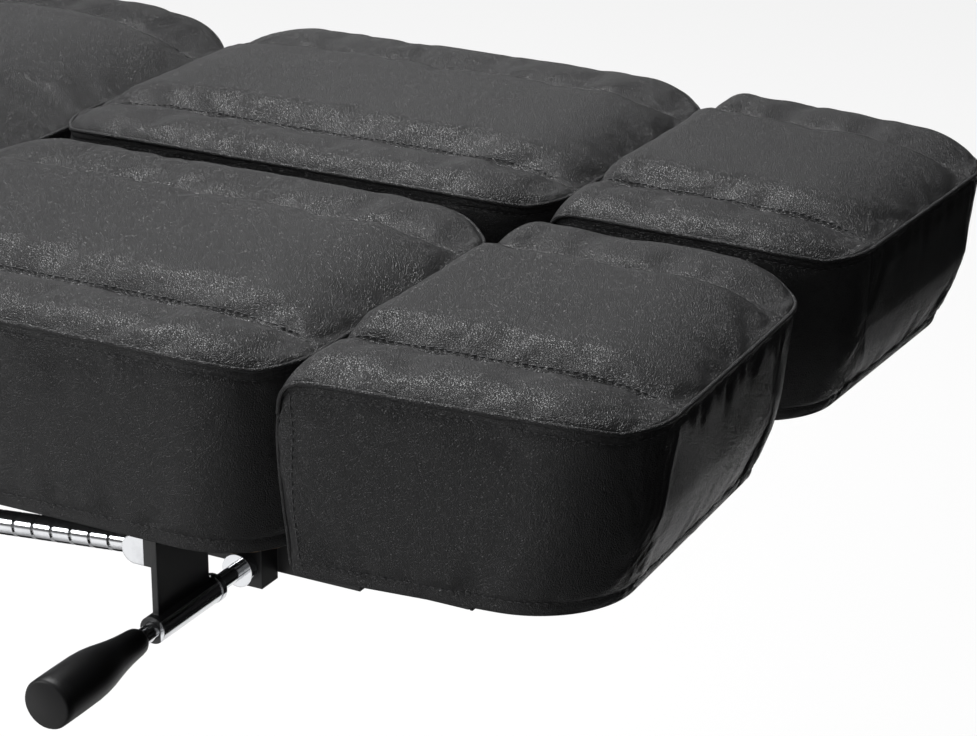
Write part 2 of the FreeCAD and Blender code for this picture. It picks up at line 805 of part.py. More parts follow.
def gas_cylinder():
    seat_eye, back_eye = gas_points()
    along = (back_eye - seat_eye).normalize()
    mouth = seat_eye + along * cylinder_length
    gland = seat_eye + along * (cylinder_length - gland_length)
    start = seat_eye + along * cylinder_start
    closed = start + along * 2 * cylinder_wall
    body = fuse([spring_eye(seat_eye), cylinder(cylinder_neck_radius, seat_eye, closed),
                 cylinder(cylinder_radius, start, mouth)])
    body = body.cut(cylinder(cylinder_radius - cylinder_wall, closed, gland))
    body = body.cut(cylinder(spring_rod_radius + running, gland - along * overrun, mouth + along * overrun))
    return body.cut(eye_bore(seat_eye))


def gas_rod():
    seat_eye, back_eye = gas_points()
    along = (seat_eye - back_eye).normalize()
    rod = cylinder(spring_rod_radius, back_eye, back_eye + along * spring_rod_length)
    return fuse([spring_eye(back_eye), rod]).cut(eye_bore(back_eye))


def lever_points():
    z = hem_level - lever_drop
    corner = V(lever_x, -lever_outer, z)
    return V(lever_x, -lever_inner, z), corner, corner + V(-lever_arm, 0, 0)


def recline_lever():
    inner, corner, tip = lever_points()
    shaft = cylinder(lever_radius, inner, corner)
    arm = cylinder(lever_radius, corner, tip)
    elbow = Part.makeSphere(lever_radius, corner)
    stop_y = -lever_lug_outer - lug_thickness - slack
    stop = cylinder(lever_radius + wall, V(lever_x, stop_y - wall, inner.z), V(lever_x, stop_y, inner.z))
    return fuse([shaft, arm, elbow, stop])


def recline_grip():
    inner, corner, tip = lever_points()
    start = tip + X * (lever_grip_length - knob_screw_radius)
    end = tip - X * knob_screw_radius
    grip = cylinder(lever_grip_radius, start, end)
    return grip.cut(cylinder(lever_radius, start + X * overrun, tip))


def headrest_rods():
    z = hem_level - head_rod_drop
    x = (head_foot_end + head_head_end) / 2
    axle_z = hem_level + head_axle_rise
    shapes = []
    for side in (-1, 1):
        y = side * head_rod_y
        shapes.append(cylinder(head_rod_radius, V(back_head_end + head_rod_inner, y, z), V(x, y, z)))
        shapes.append(block(x - head_upright_width / 2, x + head_upright_width / 2, y - head_upright / 2,
                            y + head_upright / 2, z - head_rod_radius, axle_z))
        shapes.append(cylinder(head_upright_width / 2, V(x, y - head_upright / 2, axle_z),
                               V(x, y + head_upright / 2, axle_z)))
    shapes.append(cylinder(head_axle_radius, V(x, -head_rod_y, axle_z), V(x, head_rod_y, axle_z)))
    return fuse(shapes)


def headrest_board():
    x = (head_foot_end + head_head_end) / 2
    axle_z = hem_level + head_axle_rise
    top = hem_level + head_hem_lift
    plate = block(x - head_plate_length / 2, x + head_plate_length / 2, -head_plate_width / 2, head_plate_width / 2,
                  top - head_plate_thickness, top)
    wood = board(head_head_end, head_foot_end, 0, head_width, top, head_board_thickness,
                 (corner_radius, corner_radius))
    shapes = [plate]
    bores = []
    for side in (-1, 1):
        y0 = side * head_hub_y - head_hub_length / 2
        y1 = side * head_hub_y + head_hub_length / 2
        shapes.append(cylinder(head_hub_radius, V(x, y0, axle_z), V(x, y1, axle_z)))
        bores.append(cylinder(head_axle_radius + running, V(x, y0 - overrun, axle_z), V(x, y1 + overrun, axle_z)))
    bracket = fuse(shapes)
    bracket = bracket.cut(wood)
    for bore in bores:
        bracket = bracket.cut(bore)
    return group([bracket, wood])


def headrest_cushion():
    hem = hem_level + head_hem_lift
    body = cushion(head_head_end, head_foot_end, 0, head_width, hem, hem + head_height,
                   (corner_radius, corner_radius), (roll_rise, seam_rise, panel_rise), (end_droop, end_run),
                   (end_droop, end_run), (side_tuck, side_tuck, side_tuck), roll_width)
    return body.cut(board(head_head_end, head_foot_end, 0, head_width, hem, head_board_thickness,
                          (corner_radius, corner_radius)))


def headrest_knob():
    x = back_head_end + head_knob_inset
    z = hem_level - head_rod_drop - head_sleeve_radius
    return wing_knob(V(x, head_rod_y, z - head_knob_gap), V(0, 0, -1),
                     head_knob_gap + head_sleeve_radius - head_rod_radius - slack)


def seat_board():
    return board(seat_head_end, seat_foot_end, 0, full_width, hem_level, board_thickness,
                 (corner_radius, corner_radius))


def seat_cushion():
    body = cushion(seat_head_end, seat_foot_end, 0, full_width, hem_level, edge_level, (corner_radius, corner_radius),
                   (roll_rise, seam_rise, panel_rise), (end_droop, end_run), (seat_waterfall, seat_waterfall_run),
                   (side_tuck, side_tuck, side_tuck), roll_width)
    return body.cut(seat_board())


def back_board():
    return board(back_head_end, back_foot_end, 0, full_width, hem_level, board_thickness,
                 (back_corner, corner_radius))


def back_cushion():
    body = cushion(back_head_end, back_foot_end, 0, full_width, hem_level, edge_level, (back_corner, corner_radius),
                   (roll_rise, seam_rise, panel_rise), (end_droop, end_run), (end_droop, end_run),
                   (side_tuck, side_tuck, side_tuck), roll_width)
    return body.cut(back_board())


def arm_brackets():
    low = seat_frame_low + wall
    shapes = []
    for side in (-1, 1):
        y0, y1 = sorted((side * (seat_rail_y + seat_rail_size / 2), side * arm_y))
        bar = block(arm_x - arm_bar_width / 2, arm_x + arm_bar_width / 2, y0, y1, low, low + arm_bar_height)
        hollow = block(arm_x - arm_bar_width / 2 + wall, arm_x + arm_bar_width / 2 - wall, y0 - overrun, y1 + overrun,
                       low - overrun, low + arm_bar_height - wall)
        socket = cylinder(socket_radius, V(arm_x, side * arm_y, socket_low), V(arm_x, side * arm_y, socket_high))
        bore = cylinder(post_radius + running, V(arm_x, side * arm_y, socket_low - overrun),
                        V(arm_x, side * arm_y, socket_high + overrun))
        z = socket_low + arm_knob_rise
        screw = cylinder(knob_screw_radius + running, V(arm_x, side * arm_y, z),
                         V(arm_x, side * (arm_y + socket_radius + overrun), z))
        shapes.append(bar.cut(hollow).fuse(socket).cut(bore).cut(screw))
    return group(shapes)


def arm_post(side):
    return cylinder(post_radius, V(arm_x, side * arm_y, post_low),
                    V(arm_x, side * arm_y, arm_plate_level - knuckle_gap))


def arm_plate(side):
    y = side * arm_y
    hub = cylinder(arm_hub_radius, V(arm_x, y, arm_plate_level - arm_hub_height), V(arm_x, y, arm_plate_level))
    centre = arm_x - arm_pad_back + arm_pad_length / 2
    plate = block(arm_x - arm_plate_width / 2, centre + arm_plate_length / 2, y - arm_plate_width / 2,
                  y + arm_plate_width / 2, arm_plate_level, arm_plate_level + arm_plate_thickness)
    bore = cylinder(post_radius + running, V(arm_x, y, arm_plate_level - arm_hub_height - overrun),
                    V(arm_x, y, arm_plate_level))
    return fuse([hub, plate]).cut(bore)


def arm_cushion(side):
    x0 = arm_x - arm_pad_back
    hem = arm_plate_level + arm_plate_thickness
    crown = arm_pad_crown
    return cushion(x0, x0 + arm_pad_length, side * arm_y, arm_pad_width, hem, hem + arm_pad_edge,
                   (arm_pad_radius, arm_pad_radius), (crown, crown * tuft_share, crown), (side_tuck, end_run),
                   (side_tuck, end_run), (side_tuck, side_tuck, side_tuck), arm_pad_width / 4)


def arm_knob(side):
    z = socket_low + arm_knob_rise
    y = arm_y + socket_radius + arm_knob_reach
    return wing_knob(V(arm_x, side * y, z), V(0, side, 0), y - arm_y - post_radius - slack)


def leg_frame(side):
    centre = side * pad_centre_y
    low = light_frame_low
    start = hinge_x + knuckle_radius
    end = hanger_x - hanger_thickness / 2
    half = light_rail_size / 2
    shapes = []
    bores = []
    for lean in (-1, 1):
        y = centre + lean * leg_rail_y
        shapes.append(channel_x(start, end, y, light_rail_size, low, hem_level))
        shapes.append(cylinder(knuckle_radius, V(hinge_x, y - half, hinge_z), V(hinge_x, y + half, hinge_z)))
        shapes.append(block(hinge_x, start + wall, y - half, y + half, hinge_z - knuckle_web, hinge_z + knuckle_web))
        bores.append(cylinder(hinge_rod_radius + running, V(hinge_x, y - half - overrun, hinge_z),
                              V(hinge_x, y + half + overrun, hinge_z)))
    reach = leg_rail_y + half
    for x in (start + 2 * light_rail_size, (start + end) / 2, end - half):
        shapes.append(channel_y(centre - reach, centre + reach, x, light_rail_size, low, hem_level))
    guide_x0 = hinge_x + guide_start
    guide_x1 = leg_pad_end - guide_end_inset
    shapes.append(block(guide_x0, guide_x1, centre - guide_size / 2, centre + guide_size / 2, guide_low, guide_top))
    bores.append(block(guide_x0 - overrun, guide_x1 + overrun, centre - guide_size / 2 + guide_wall,
                       centre + guide_size / 2 - guide_wall, guide_low + guide_wall, guide_top - guide_wall))
    face = centre + side * guide_size / 2
    y0, y1 = sorted((face, face + side * clamp_block_length))
    shapes.append(block(hanger_x - clamp_block / 2, hanger_x + clamp_block / 2, y0, y1,
                        clamp_z - clamp_block / 2, clamp_z + clamp_block / 2))
    bores.append(cylinder(clamp_radius + running, V(hanger_x, face, clamp_z),
                          V(hanger_x, face + side * (clamp_block_length + overrun), clamp_z)))
    body = fuse(shapes)
    for bore in bores:
        body = body.cut(bore)
    return body


def leg_board(side):
    return board(leg_pad_start, leg_pad_end, side * pad_centre_y, pad_width, hem_level, board_thickness,
                 (corner_radius, corner_radius))


def leg_cushion(side):
    body = cushion(leg_pad_start, leg_pad_end, side * pad_centre_y, pad_width, hem_level, edge_level,
                   (corner_radius, corner_radius), (roll_rise, seam_rise, panel_rise), (end_droop, end_run),
                   (end_droop, end_run), (side_tuck, side_tuck, side_tuck), roll_width)
    return body.cut(leg_board(side))


def hanger_faces(side):
    outer = side * (pad_split / 2 + pad_width - hanger_side_inset)
    inner = outer - side * hanger_width
    return outer, inner


def leg_hanger(side):
    outer, inner = hanger_faces(side)
    x0 = hanger_x - hanger_thickness / 2
    x1 = hanger_x + hanger_thickness / 2
    y0, y1 = sorted((outer, inner))
    s0, s1 = sorted((outer, outer - side * hanger_strip_reach))
    strip_low = hem_level - hanger_strip_height
    plate = block(x0, x1, y0, y1, clamp_z, hem_level)
    strip = block(x0, x1, s0, s1, strip_low, hem_level)
    sleeve = cylinder(sleeve_radius, V(hanger_x, y0 - sleeve_overhang, clamp_z),
                      V(hanger_x, y1 + sleeve_overhang, clamp_z))
    shapes = [plate, strip, sleeve]
    half = stay_eye_width / 2 + ear_gap
    for lean in (-1, 1):
        e0, e1 = sorted((side * stay_y + lean * half, side * stay_y + lean * (half + ear_thickness)))
        shapes.append(block(stay_pin_x, x0, e0, e1, stay_pin_z - stay_eye_radius, stay_pin_z + stay_eye_radius))
        shapes.append(cylinder(stay_eye_radius, V(stay_pin_x, e0, stay_pin_z), V(stay_pin_x, e1, stay_pin_z)))
    reach = half + ear_thickness
    shapes.append(cylinder(stay_pin_radius, V(stay_pin_x, side * stay_y - reach, stay_pin_z),
                           V(stay_pin_x, side * stay_y + reach, stay_pin_z)))
    body = fuse(shapes)
    body = body.cut(cylinder(clamp_radius + running, V(hanger_x, y0 - sleeve_overhang - overrun, clamp_z),
                             V(hanger_x, y1 + sleeve_overhang + overrun, clamp_z)))
    bolt_z = hem_level - hanger_strip_height / 2
    bolts = [hex_bolt(V(x1, inner + side * lean * hanger_strip_height / 2, bolt_z), X, hanger_thickness / 4)
             for lean in (-1, 1)]
    return group([body] + [bolt.cut(body) for bolt in bolts])


def stay_bar(side):
    """A round bar with ring notches, turned as one outline, and the eye that its pin goes through."""
    pin, pivot, along, reach, folded = stay_points()
    pin = pin + V(0, side * stay_y, 0)
    length = reach - stay_tube_length() + stay_overlap
    outline = [(0, 0), (0, stay_bar_radius)]
    for i in range(notch_count):
        start = notch_first + i * notch_pitch
        outline += [(start, stay_bar_radius), (start + notch_width / 2, stay_bar_radius - notch_depth),
                    (start + notch_width, stay_bar_radius)]
    outline += [(length, stay_bar_radius), (length, 0)]
    across = V(-along.z, 0, along.x)
    profile = polygon([pin + along * run + across * radius for run, radius in outline])
    bar = Part.Face(profile).revolve(pin, along, 360)
    if bar.Volume < 0:
        bar.reverse()
    eye_half = V(0, stay_eye_width / 2, 0)
    body = bar.fuse(cylinder(stay_eye_radius, pin - eye_half, pin + eye_half))
    step = V(0, stay_eye_width / 2 + overrun, 0)
    return body.cut(cylinder(stay_pin_radius + running, pin - step, pin + step))


def stay_tube_length():
    pin, pivot, along, reach, folded = stay_points()
    return folded - stay_mouth_clear


def stay_tube(side):
    pin, pivot, along, reach, folded = stay_points()
    y = V(0, side * stay_y, 0)
    length = stay_tube_length()
    mouth = pivot + y - along * length
    collar = mouth + along * stay_collar_length
    closed = pivot + y - along * (stay_tube_radius + wall)
    half = V(0, stay_tube_radius, 0)
    eye = cylinder(stay_pivot_eye, pivot + y - half, pivot + y + half)
    tube = cylinder(stay_tube_radius, pivot + y, mouth)
    catch_at = mouth + along * stay_collar_length / 2
    outward = V(0, side * (stay_collar_radius + stay_catch_height * run_share), 0)
    catch = cylinder(stay_catch_radius, catch_at, catch_at + outward)
    body = fuse([eye, tube, cylinder(stay_collar_radius, collar, mouth), catch])
    body = body.cut(cylinder(stay_bar_radius + running, closed, mouth - along * overrun))
    step = V(0, stay_tube_radius + overrun, 0)
    return body.cut(cylinder(stay_pivot_radius + running, pivot + y - step, pivot + y + step))


def grip_start(side):
    return side * (pad_split / 2 + pad_width + grip_gap)


def clamp_rod(side):
    face = side * (pad_centre_y + guide_size / 2 + slack)
    block_face = side * (pad_centre_y + guide_size / 2 + clamp_block_length + slack)
    end = grip_start(side) + side * (grip_length - cap_thickness - grip_round)
    rod = cylinder(clamp_radius, V(hanger_x, face, clamp_z), V(hanger_x, end, clamp_z))
    collar = cylinder(clamp_collar_radius, V(hanger_x, block_face, clamp_z),
                      V(hanger_x, block_face + side * clamp_collar_length, clamp_z))
    outer, inner = hanger_faces(side)
    y = inner - side * (sleeve_overhang + slack)
    ring = cylinder(ring_radius, V(hanger_x, y, clamp_z), V(hanger_x, y - side * ring_thickness, clamp_z))
    return fuse([rod, collar, ring])


def clamp_grip(side):
    """A tapered hand grip, drawn as shares of its length and of its greatest radius, and its end cap."""
    start = grip_start(side)
    length = grip_length - cap_thickness
    outline = [(0, 0)]
    outline += [(share * length, radius_share * grip_radius) for share, radius_share in grip_outline_shares]
    outline.append((length, 0))
    profile = polygon([V(hanger_x + radius, start + side * along, clamp_z) for along, radius in outline])
    body = Part.Face(profile).revolve(V(hanger_x, 0, clamp_z), Y, 360)
    if body.Volume < 0:
        body.reverse()
    body = body.cut(clamp_rod(side))
    end = start + side * length
    cap_end = end + side * cap_thickness
    cap = cylinder(cap_radius, V(hanger_x, end, clamp_z), V(hanger_x, cap_end, clamp_z))
    return group([body, cap])


def foot_slide(side):
    centre = side * pad_centre_y
    x0 = hinge_x + slide_start
    x1 = foot_pad_start + slide_reach
    half = slide_size / 2
    tube = block(x0, x1, centre - half, centre + half, slide_z - half, slide_z + half)
    hollow = block(x0 - overrun, x1 + overrun, centre - half + slide_wall, centre + half - slide_wall,
                   slide_z - half + slide_wall, slide_z + half - slide_wall)
    crosses = [channel_y(centre - foot_cross_span / 2, centre + foot_cross_span / 2, foot_pad_start + inset,
                         foot_cross_size, slide_z + half, hem_level)
               for inset in (foot_cross_first, foot_cross_second)]
    return fuse([tube.cut(hollow)] + crosses)


def foot_board(side):
    return board(foot_pad_start, foot_pad_end - toe_tuck, side * pad_centre_y, pad_width, hem_level, board_thickness,
                 (corner_radius, corner_radius))


def foot_cushion(side):
    body = cushion(foot_pad_start, foot_pad_end, side * pad_centre_y, pad_width, hem_level, edge_level,
                   (corner_radius, corner_radius), (roll_rise, seam_rise, panel_rise), (end_droop, end_run),
                   (end_droop, end_run), (side_tuck, side_tuck, toe_tuck), roll_width)
    return body.cut(foot_board(side))


single = {
    "base_plate": base_plate, "base_cover": base_cover, "base_feet": base_feet, "pump_body": pump_body,
    "pump_collar": pump_collar, "pump_pedal": pump_pedal, "pedal_tread": pedal_tread, "lift_ram": lift_ram,
    "swivel_hub": swivel_hub, "seat_frame": seat_frame, "seat_board": seat_board, "seat_cushion": seat_cushion,
    "leg_hinge_rod": leg_hinge_rod, "back_side_plates": back_side_plates, "arm_brackets": arm_brackets,
    "gas_cylinder": gas_cylinder, "gas_rod": gas_rod, "recline_lever": recline_lever, "recline_grip": recline_grip,
    "back_frame": back_frame, "back_board": back_board, "back_cushion": back_cushion,
    "headrest_rods": headrest_rods, "headrest_board": headrest_board, "headrest_cushion": headrest_cushion,
    "headrest_knob": headrest_knob,
}
bolted = {"pump_bolts": (pump_bolts, pump_body), "seat_bolts": (seat_bolts, swivel_hub)}
paired = {
    "arm_post": arm_post, "arm_plate": arm_plate, "arm_cushion": arm_cushion, "arm_knob": arm_knob,
    "leg_frame": leg_frame, "leg_board": leg_board, "leg_cushion": leg_cushion, "leg_hanger": leg_hanger,
    "stay_bar": stay_bar, "stay_tube": stay_tube, "clamp_rod": clamp_rod, "clamp_grip": clamp_grip,
    "foot_slide": foot_slide, "foot_board": foot_board, "foot_cushion": foot_cushion,
}
sides = {"near": -1, "far": 1}

os.makedirs("parts", exist_ok=True)
for node, make in single.items():
    make().exportStep("parts/" + node + ".step")
for node, (make, held) in bolted.items():
    group([bolt.cut(held()) for bolt in make()]).exportStep("parts/" + node + ".step")
for node, make in paired.items():
    for name, side in sides.items():
        make(side).exportStep("parts/" + node + "_" + name + ".step")
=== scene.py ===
import math

import bmesh
import bpy
import numpy as np
from mathutils import Matrix, Vector, noise
from mathutils.bvhtree import BVHTree


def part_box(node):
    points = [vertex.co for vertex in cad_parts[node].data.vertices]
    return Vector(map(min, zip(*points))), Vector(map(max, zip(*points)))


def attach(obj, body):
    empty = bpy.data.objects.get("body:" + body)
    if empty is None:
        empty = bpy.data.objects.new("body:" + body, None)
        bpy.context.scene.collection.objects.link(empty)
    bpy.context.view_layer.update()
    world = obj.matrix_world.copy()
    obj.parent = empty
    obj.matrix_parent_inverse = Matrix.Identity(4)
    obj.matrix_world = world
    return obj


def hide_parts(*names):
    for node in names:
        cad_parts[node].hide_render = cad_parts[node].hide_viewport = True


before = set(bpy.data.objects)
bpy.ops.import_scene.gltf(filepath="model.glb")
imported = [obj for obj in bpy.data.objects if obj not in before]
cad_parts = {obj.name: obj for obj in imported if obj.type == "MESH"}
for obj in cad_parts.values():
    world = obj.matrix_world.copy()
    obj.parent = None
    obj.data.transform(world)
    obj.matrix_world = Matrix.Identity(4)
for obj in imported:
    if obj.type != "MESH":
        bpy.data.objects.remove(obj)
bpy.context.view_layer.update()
scene = bpy.context.scene
near_and_far = (("near", -1), ("far", 1))
both_sides = [side for side, lean in near_and_far]

# The view: a long lens that looks down on the near foot corner from the front left.
# The image is 977 by 736, and the focal length is in the same pixels.
image_width = 977
focal_pixels = 2920.0
view_azimuth = math.radians(27.911)
view_elevation = math.radians(21.601)
view_roll = math.radians(0.26)
eye = bpy.data.objects.new("eye", bpy.data.cameras.new("eye"))
scene.collection.objects.link(eye)
eye.location = (1.3555, -1.4616, 1.3247)
back = Vector((math.sin(view_azimuth) * math.cos(view_elevation),
               -math.cos(view_azimuth) * math.cos(view_elevation),
               math.sin(view_elevation)))
eye.rotation_mode = "QUATERNION"
eye.rotation_quaternion = back.to_track_quat("Z", "Y") @ Matrix.Rotation(view_roll, 3, "Z").to_quaternion()
eye.data.sensor_width = 36.0
eye.data.lens = eye.data.sensor_width * focal_pixels / image_width
eye.data.clip_start = 0.05
scene.camera = eye
scene.view_settings.view_transform = "Standard"


class Value:
    """A socket of a finish. Sums on it add the Math nodes that they need."""

    def __init__(self, tree, socket=None):
        self.tree = tree
        self.socket = socket

    def node(self, kind, settings, links, output=0):
        """Any node: its type, its settings, which come first, and the values or links of its sockets."""
        made = self.tree.nodes.new(kind)
        for name, value in settings.items():
            setattr(made, name, value)
        for key, value in links.items():
            if isinstance(value, Value):
                self.tree.links.new(value.socket, made.inputs[key])
            else:
                made.inputs[key].default_value = value
        return Value(self.tree, made.outputs[output] if made.outputs else None)

    def maths(self, operation, *values):
        return self.node("ShaderNodeMath", {"operation": operation}, dict(enumerate(values)))

    def __add__(self, other):
        return self.maths("ADD", self, other)

    def __sub__(self, other):
        return self.maths("SUBTRACT", self, other)

    def __rsub__(self, other):
        return self.maths("SUBTRACT", other, self)

    def __mul__(self, other):
        return self.maths("MULTIPLY", self, other)

    __radd__ = __add__
    __rmul__ = __mul__

    def blend(self, low, high):
        """A colour from low to high by this value."""
        return self.node("ShaderNodeMix", {"data_type": "RGBA"}, {0: self, 6: low, 7: high}, 2)

    def between(self, low, high):
        """This value, stretched so that low becomes 0 and high becomes 1."""
        return self.node("ShaderNodeMapRange", {}, {0: self, 1: low, 2: high})


def finish(name):
    """A new finish, and the bench on which its nodes are made."""
    made = bpy.data.materials.new(name)
    made.use_nodes = True
    made.node_tree.nodes.clear()
    return made, Value(made.node_tree)


# The light: a soft box behind on the left, a stronger one high behind, one in front on the left, and a dim room.
# The floor and the room are white to the eye, and the floor keeps the shadow.
soft_boxes = (
    ("back_box", (-2.3, 3.4, 2.3), (3.2, 1.9), 9.0),
    ("top_box", (-0.55, 0.6, 3.1), (1.5, 1.3), 115.0),
    ("front_box", (-2.2, -2.6, 2.2), (2.2, 1.6), 90.0),
)
lit_place = Vector((0.2, 0.0, 0.7))
for name, place, size, power in soft_boxes:
    lamp = bpy.data.lights.new(name, "AREA")
    lamp.shape = "RECTANGLE"
    lamp.size, lamp.size_y = size
    lamp.energy = power
    box = bpy.data.objects.new(name, lamp)
    scene.collection.objects.link(box)
    box.location = place
    box.rotation_mode = "QUATERNION"
    box.rotation_quaternion = (Vector(place) - lit_place).to_track_quat("Z", "Y")

room = bpy.data.worlds.new("room")
room.use_nodes = True
room.node_tree.nodes.clear()
scene.world = room
bench = Value(room.node_tree)


def seen(bench):
    """1 for what the eye sees, straight or through glass, and 0 for mirrored and soft light."""
    return sum(bench.node("ShaderNodeLightPath", {}, {}, name) for name in ("Is Camera Ray", "Is Transmission Ray"))


room_light = 0.16
strength = room_light + (1 - room_light) * seen(bench)
sky = bench.node("ShaderNodeBackground", {}, {"Color": (1, 1, 1, 1), "Strength": strength})
bench.node("ShaderNodeOutputWorld", {}, {"Surface": sky})

floor_reach = 12.0
floor_glow = 0.8
floor_mesh = bpy.data.meshes.new("floor")
floor_mesh.from_pydata([(-floor_reach, -floor_reach, 0), (floor_reach, -floor_reach, 0),
                        (floor_reach, floor_reach, 0), (-floor_reach, floor_reach, 0)], [], [(0, 1, 2, 3)])
floor = bpy.data.objects.new("floor", floor_mesh)
scene.collection.objects.link(floor)
white_floor, bench = finish("white_floor")
matt = bench.node("ShaderNodeBsdfDiffuse", {}, {"Color": (0.86, 0.86, 0.86, 1)})
glow = bench.node("ShaderNodeEmission", {}, {"Color": (1, 1, 1, 1)})
mixed = bench.node("ShaderNodeMixShader", {}, {0: floor_glow * seen(bench), 1: matt, 2: glow})
bench.node("ShaderNodeOutputMaterial", {}, {"Surface": mixed})
floor_mesh.materials.append(white_floor)

# Studio flag: a low curved wall of black cloth beyond the toe end, which the eye doesn't see.
# It keeps the light off the end faces and gives the chrome its dark streaks.
flag_centre = (0.6, 0.0)
flag_reach = 1.6
flag_height = 0.95
flag_sweep = range(-48, 86, 4)
flag_angles = [math.radians(angle) for angle in flag_sweep]
flag_points = [(flag_centre[0] + flag_reach * math.cos(angle), flag_centre[1] + flag_reach * math.sin(angle), z)
               for angle in flag_angles for z in (0.0, flag_height)]
flag_mesh = bpy.data.meshes.new("flag")
flag_mesh.from_pydata(flag_points, [], [(2 * k, 2 * k + 2, 2 * k + 3, 2 * k + 1)
                                        for k in range(len(flag_angles) - 1)])
flag = bpy.data.objects.new("flag", flag_mesh)
scene.collection.objects.link(flag)
flag.visible_camera = False
black_cloth, bench = finish("black_cloth")
matt = bench.node("ShaderNodeBsdfDiffuse", {}, {"Color": (0.01, 0.01, 0.01, 1)})
bench.node("ShaderNodeOutputMaterial", {}, {"Surface": matt})
flag_mesh.materials.append(black_cloth)
flag.visible_shadow = False

# Floor cloth: the same black cloth laid flat beyond the toe end, just above the floor.
# The end faces mirror it, so they stay dark. The eye doesn't see it.
cloth_level = 0.004
cloth_points = [(x, y, cloth_level) for x, y in ((0.98, -1.25), (3.6, -1.7), (3.6, 3.2), (0.75, 3.2))]
cloth_mesh = bpy.data.meshes.new("floor_cloth")
cloth_mesh.from_pydata(cloth_points, [], [(0, 1, 2, 3)])
cloth = bpy.data.objects.new("floor_cloth", cloth_mesh)
scene.collection.objects.link(cloth)
cloth.visible_camera = False
cloth.visible_shadow = False
cloth_mesh.materials.append(black_cloth)

# Base: a welded base plate, a pressed cover over it and the pump body, all powder-coated black steel.
# The coat has a faint orange peel, fine dust and edges that are rubbed thin.
coat_black = (0.013, 0.013, 0.014, 1)
coat_rubbed = (0.06, 0.06, 0.062, 1)
peel_scale = 700.0
edge_round = 0.0012
powder_steel, bench = finish("black_powder_steel")
place = bench.node("ShaderNodeTexCoord", {}, {}, "Object")
peel = bench.node("ShaderNodeTexNoise", {}, {"Vector": place, "Scale": peel_scale, "Detail": 2.0})
smudge = bench.node("ShaderNodeTexNoise", {}, {"Vector": place, "Scale": 9.0, "Detail": 5.0, "Roughness": 0.62})
rounded = bench.node("ShaderNodeBevel", {"samples": 4}, {"Radius": edge_round})
flat = bench.node("ShaderNodeNewGeometry", {}, {}, "Normal")
turn = bench.node("ShaderNodeVectorMath", {"operation": "DOT_PRODUCT"}, {0: rounded, 1: flat}, "Value")
rubbed = (1 - turn).between(0.02, 0.25) * smudge.between(0.42, 0.62)
coat = rubbed.blend(coat_black, coat_rubbed)
bump = bench.node("ShaderNodeBump", {}, {"Strength": 0.22, "Distance": 0.0002, "Height": peel, "Normal": rounded})
skin = bench.node("ShaderNodeBsdfPrincipled", {}, {
    "Base Color": coat, "Roughness": 0.34 + 0.2 * smudge, "Normal": bump, "IOR": 1.45})
bench.node("ShaderNodeOutputMaterial", {}, {"Surface": skin})


def dress(nodes, made):
    """Gives CAD nodes their finish."""
    for name in nodes:
        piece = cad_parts[name]
        piece.data.materials.clear()
        piece.data.materials.append(made)


dress(["base_plate", "base_cover", "pump_body", "pump_pedal"], powder_steel)

# Feet and pedal tread: black moulded rubber. The feet are pressed into the base plate, and the tread on the pedal.
# The rubber is matt, a little dusty and finely pitted.
rubber_black = (0.016, 0.016, 0.016, 1)
rubber_dust = (0.045, 0.044, 0.042, 1)
black_rubber, bench = finish("black_rubber")
place = bench.node("ShaderNodeTexCoord", {}, {}, "Object")
pits = bench.node("ShaderNodeTexNoise", {}, {"Vector": place, "Scale": 1400.0, "Detail": 2.0})
dust = bench.node("ShaderNodeTexNoise", {}, {"Vector": place, "Scale": 30.0, "Detail": 6.0, "Roughness": 0.7})
bump = bench.node("ShaderNodeBump", {}, {"Strength": 0.4, "Distance": 0.0003, "Height": pits})
skin = bench.node("ShaderNodeBsdfPrincipled", {}, {
    "Base Color": dust.between(0.45, 0.8).blend(rubber_black, rubber_dust), "Roughness": 0.62 + 0.2 * dust,
    "Normal": bump})
bench.node("ShaderNodeOutputMaterial", {}, {"Surface": skin})
dress(["base_feet", "pedal_tread"], black_rubber)

# Ram, collar, lever, posts, stay and clamp rod: turned steel, polished and chromed.
# The plating is mirror-bright with faint hand marks and very fine polishing lines.
chrome_tint = (0.72, 0.73, 0.75, 1)
chrome_dull = (0.5, 0.51, 0.53, 1)
bright_chrome, bench = finish("bright_chrome")
place = bench.node("ShaderNodeTexCoord", {}, {}, "Object")
marks = bench.node("ShaderNodeTexNoise", {}, {"Vector": place, "Scale": 38.0, "Detail": 6.0, "Roughness": 0.65})
drawn = bench.node("ShaderNodeVectorMath", {"operation": "MULTIPLY"}, {0: place, 1: (2600.0, 160.0, 160.0)})
lines = bench.node("ShaderNodeTexNoise", {}, {"Vector": drawn, "Scale": 1.0, "Detail": 1.0})
rounded = bench.node("ShaderNodeBevel", {"samples": 4}, {"Radius": edge_round / 2})
bump = bench.node("ShaderNodeBump", {}, {"Strength": 0.05, "Distance": 0.0001, "Height": lines,
                                         "Normal": rounded})
skin = bench.node("ShaderNodeBsdfPrincipled", {}, {
    "Base Color": marks.between(0.55, 0.85).blend(chrome_tint, chrome_dull), "Metallic": 1.0,
    "Roughness": 0.06 + 0.12 * marks.between(0.4, 0.8), "Normal": bump})
bench.node("ShaderNodeOutputMaterial", {}, {"Surface": skin})
dress(["pump_collar", "lift_ram", "gas_rod", "recline_lever", "headrest_rods"], bright_chrome)

